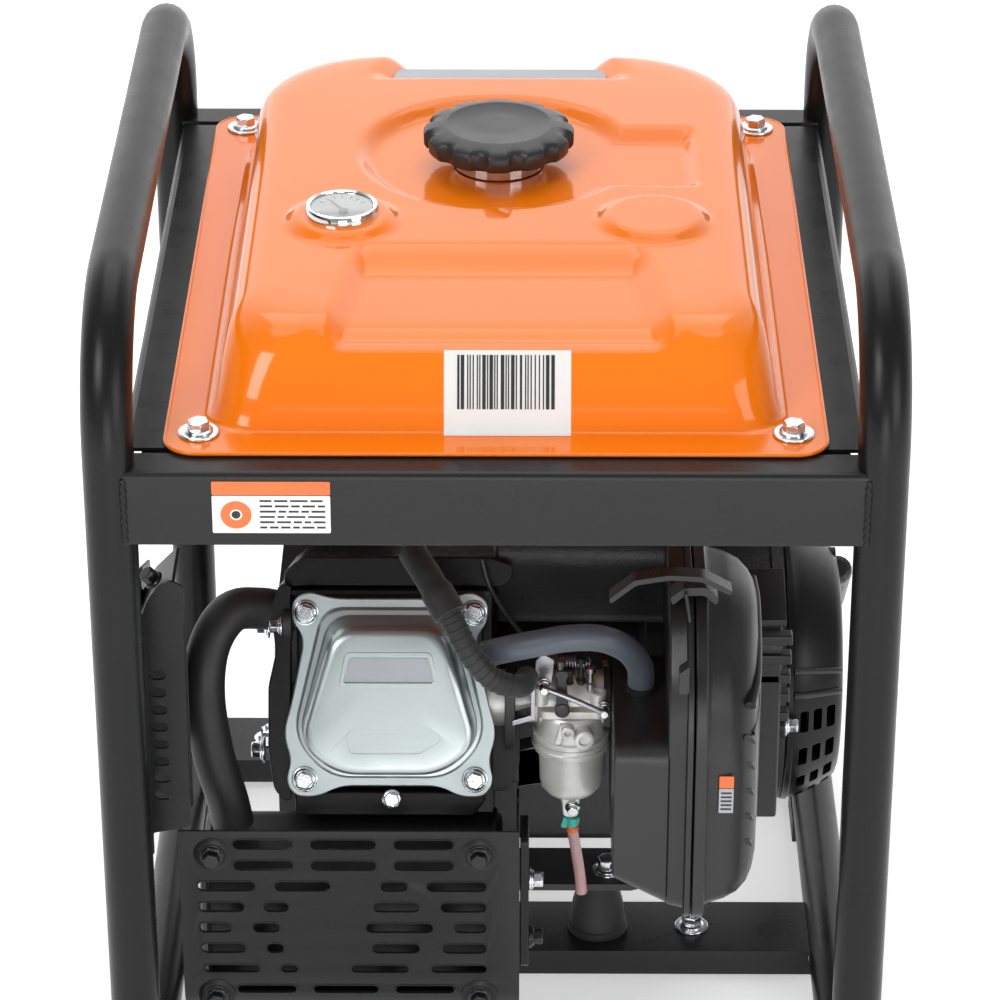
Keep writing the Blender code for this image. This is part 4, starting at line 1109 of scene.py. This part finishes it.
def build_starter():
    """The fan housing, the ducts and shroud beside it, and the starter's rings, lugs and cover."""
    drum = ((73, 60), (75, 60), (76, 61), (76, 76), (77.2, 77), (77.2, 80), (76, 81), (76, 150), (77.4, 151),
            (77.4, 157.6), (76.8, 158), (73, 158))
    piece("fan_shell", turned(drum, HUB, RIGHT, 120, closed=True), CAST, slot="black_plastic",
          replaces="fan_housing")
    for node, finish in (
        ("recoil_pulley", PLASTIC), ("alternator_rotor", ALLOY), ("alternator_stator", COPPER),
        ("crankshaft", STEEL),
        ("recoil_handle", SATIN),
    ):
        dress(node, finish)
    build_recoil_cover()
    slab("alternator_foot", [(-38, 80), (64, 78), (70, 120), (-42, 150)], 6, "X", -2, 84, CAST, bevel=1.5)
    neck = ((32, -1), (62, -1), (74, 4), (75, 40), (73, 57), (33, 57), (32, 52))
    piece("alternator_shroud", turned(neck, HUB, RIGHT, 72, closed=True), CAST, bevel=1)
    duct = [(-74, 118), (-44, 112), (-36, 150), (-40, 236), (-62, 244), (-74, 230)]
    slab("cooling_duct", duct, 6, "X", 118, 152, CAST, bevel=1.5)
    head_duct = [(-66, 236), (-30, 226), (4, 236), (8, 262), (-20, 300), (-60, 304), (-78, 284)]
    slab("blower_duct", head_duct, 8, "X", -2, 92, CAST, bevel=3)
    for i, radius in enumerate((28, 40, 52)):
        profile = [(radius + side, x) for side, x in ((-0.9, 189.6), (-0.6, 190.2), (0.6, 190.2), (0.9, 189.6))]
        rib = piece(f"starter_ring_{i}", turned(profile, HUB, RIGHT, 96, closed=True), PAINT)
        pocket = block((-10, -40, -13), (10, 40, 13))
        turn = Matrix.Translation(GRIP_MIDDLE) @ Matrix.Rotation(math.radians(135), 4, "X")
        bmesh.ops.transform(pocket, matrix=turn, verts=pocket.verts)
        carve(rib, pocket)
    for i in range(3):
        angle = math.radians(90 + 120 * i - 35)
        centre = (152.6, CRANK_Y + 81 * math.cos(angle), CRANK_Z + 81 * math.sin(angle))
        lug = turned(((4, 0), (7.5, 0.2), (7.5, 3.4), (6.8, 4), (2, 4)), centre, RIGHT, 28)
        piece(f"starter_lug_{i}", lug, PAINT)
        bolt(f"starter_bolt_{i}", (centre[0] + 4, *centre[1:]), RIGHT, 8.5, 5, washer=6.4)
    # the coil's cover and the louvres seen between the air cleaner and the starter
    strip = [(-92, 250), (-60, 262), (-60, 268), (-96, 256)]
    slab("ignition_coil_cover", strip, 1.5, "X", 128, 152, PLASTIC, bevel=1)
    for i in range(5):
        vent = rect(-78 + 2 * i, -70 + 2 * i, 236 - 13 * i, 230 - 13 * i)
        slab(f"cooling_louvre_{i}", vent, 1.2, "X", 138, 157, PLASTIC, bevel=0.8)


def build_recoil_cover():
    """The starter's domed cover, with air slots and two ridges round its front and a pocket for the handle."""
    profile = (
        (55, 186.8), (62, 178), (75, 166), (75, 158.4), (77.4, 158.3), (78, 158.9), (78, 161.5),
        (76.8, 162.2), (76.4, 166), (74.6, 170.5), (71.6, 176.5), (68.6, 181.6), (66.0, 185.6), (63.2, 188.4),
        (60, 189.6), (57, 190), (54, 189.2), (52, 189.2), (50, 190), (22, 190), (20, 189.4), (2, 189.4),
    )
    cover = piece("starter_cover", turned(profile, HUB, RIGHT, 144), PAINT, slot="black_paint",
                  replaces="recoil_cover", angle=32)
    cuts = []
    for x in (168, 175.5, 183):
        for angle in (-94, -76, -58, -40):
            slot = prism(rounded(rect(x - 2.4, x + 2.4, -6.5, 6.5), 1.6), "Z", -84, -52)
            turn = Matrix.Translation(HUB) @ Matrix.Rotation(math.radians(angle), 4, "X")
            bmesh.ops.transform(slot, matrix=turn, verts=slot.verts)
            cuts.append(slot)
    along, across = Vector((0, -1, 1)).normalized(), Vector((0, 1, 1)).normalized()
    groove = (GRIP_MIDDLE - along * 35, GRIP_MIDDLE + along * 35, 9.4, 40)
    carve(cover, *cuts, rod(*groove))
    outline = [GRIP_MIDDLE + along * a + across * b for a, b in rounded(rect(-38, 38, -12, 12), 6)]
    ends = [[(x, point.y, point.z) for point in outline] for x in (178, 188.6)]
    carve(piece("handle_pocket", loft(ends), PAINT, bevel=1.2), rod(*groove))
    ridge = ((162, 77), (166, 76.4), (170.5, 74.6), (176.5, 71.6), (181.6, 68.6), (185.6, 66), (187.6, 63.8))
    for angle in (116, 106):
        turn = math.radians(-angle)
        route = [(x, CRANK_Y + radius * math.sin(turn), CRANK_Z - radius * math.cos(turn)) for x, radius in ridge]
        tube(f"cover_lip_{angle}", route, 2.0, SATIN, smooth=5)


def build_mounts():
    """The rubber mounts with their nuts, the brackets on them, and the base members' bolts."""
    for place in PLACES:
        low, high = low_high(f"engine_mount_{place}")
        x, y = (low.x + high.x) / 2, (low.y + high.y) / 2
        levels = ((16.6, 0), (17.0, 1.2), (16.8, 4), (15.6, 5), (15.2, 9), (14, 18), (12, 25), (10.2, 31),
                  (9.5, 34.5))
        profile = [(radius, low.z + rise) for radius, rise in levels] + [(8.4, high.z)]
        piece(f"mount_{place}", turned(profile, (x, y, 0), UP, 48), RUBBER, slot="rubber",
              replaces=f"engine_mount_{place}")
        nut = bolt(f"mount_nut_{place}", (x + 5, y - 4, 64.6), UP, 11, 6.5, washer=8.5)
    for side in ("front", "rear"):
        dress(f"engine_bracket_{side}", DULL)
    for i, (x, y) in enumerate(((109, -40), (-140, -40), (109, 159), (-140, 159))):
        bolt(f"member_bolt_{i}", (x, y, 24.7), UP, 11, 5.5, washer=9.5, stud=2.5)


def build_controls():
    """The control panel's finishes, screws, switch bezel, vents, lamps and plain bars."""
    for node, finish in (
        ("control_panel", PAINT), ("inverter_module", ALLOY), ("outlet_flap", SATIN), ("engine_switch", RED),
        ("breaker_button", RED), ("oil_dipstick", SATIN),
    ):
        dress(node, finish)
    for i, (x, z) in enumerate(((-158, 192), (158, 192), (-158, 318), (158, 318))):
        bolt(f"panel_screw_{i}", (x, 212.2, z), (0, 1, 0), 6.6, 2.2, washer=4.6)
    bezel = slab("switch_bezel", rect(-122, -98, 270, 302), 2, "Y", 212.1, 213.6, PLASTIC, bevel=0.4)
    carve(bezel, prism(rounded(rect(-118, -102, 274, 298), 1), "Y", 205, 220))
    for i in range(9):
        x = -150 + 8 * i
        slab(f"panel_vent_{i}", rect(x, x + 3.4, 196, 246), 1.6, "Y", 212.05, 212.9, PLASTIC, bevel=0.3)
    lamp = ((3.4, 0), (3.4, 0.9), (2.6, 1.2), (2.2, 2.2), (1.0, 2.9))
    for i, (x, finish) in enumerate(((-32, TEAL), (-16, LABEL_YELLOW), (0, RED))):
        piece(f"status_lamp_{i}", turned(lamp, (x, 212.1, 236), (0, 1, 0), 28), finish)
    for i, end in enumerate((110, 84, 110, 84)):
        bar = rect(-30, end, 208 + 7 * i, 210.4 + 7 * i)
        piece(f"panel_mark_{i}", prism(bar, "Y", 212.02, 212.25), WHITE)


def build_beam_label():
    """A label on the front beam that says nothing: a coloured header, a round mark and rows of bars."""
    face = -226.15
    for name, z0, z1, finish in (("header", 400.2, 407.5, LABEL_ORANGE), ("body", 379.5, 399.8, WHITE)):
        slab(f"warning_{name}", rect(-136.5, -79.5, z0, z1), 0.8, "Y", face - 0.25, face + 0.1, finish,
             bevel=0.05)
    random.seed(11)
    for row in range(6):
        z = 396.6 - 2.9 * row
        x = -113.5
        while x < -83:
            width = random.uniform(3, 9)
            bar = prism(rect(x, min(x + width, -82), z, z + 1.0), "Y", face - 0.4, face - 0.2)
            piece(f"warning_line_{row}_{int(-x)}", bar, INK)
            x += width + 1.3
    spot = (-125, face - 0.2, 389.5)
    piece("warning_mark", turned(rect(3.0, 7.5, 0, 0.2), spot, FRONT, 32, closed=True), LABEL_ORANGE)
    piece("warning_dot", turned(((2.2, 0), (2.0, 0.2)), spot, FRONT, 24), INK)


build_stage()
build_frame()
build_tank()
build_cap()
build_gauge()
build_tank_details()
build_valve_cover()
build_cylinder()
build_ignition()
build_exhaust()
build_guard()
build_shield()
build_carburettor()
build_hoses()
build_air_cleaner()
build_starter()
build_mounts()
build_controls()
build_beam_label()
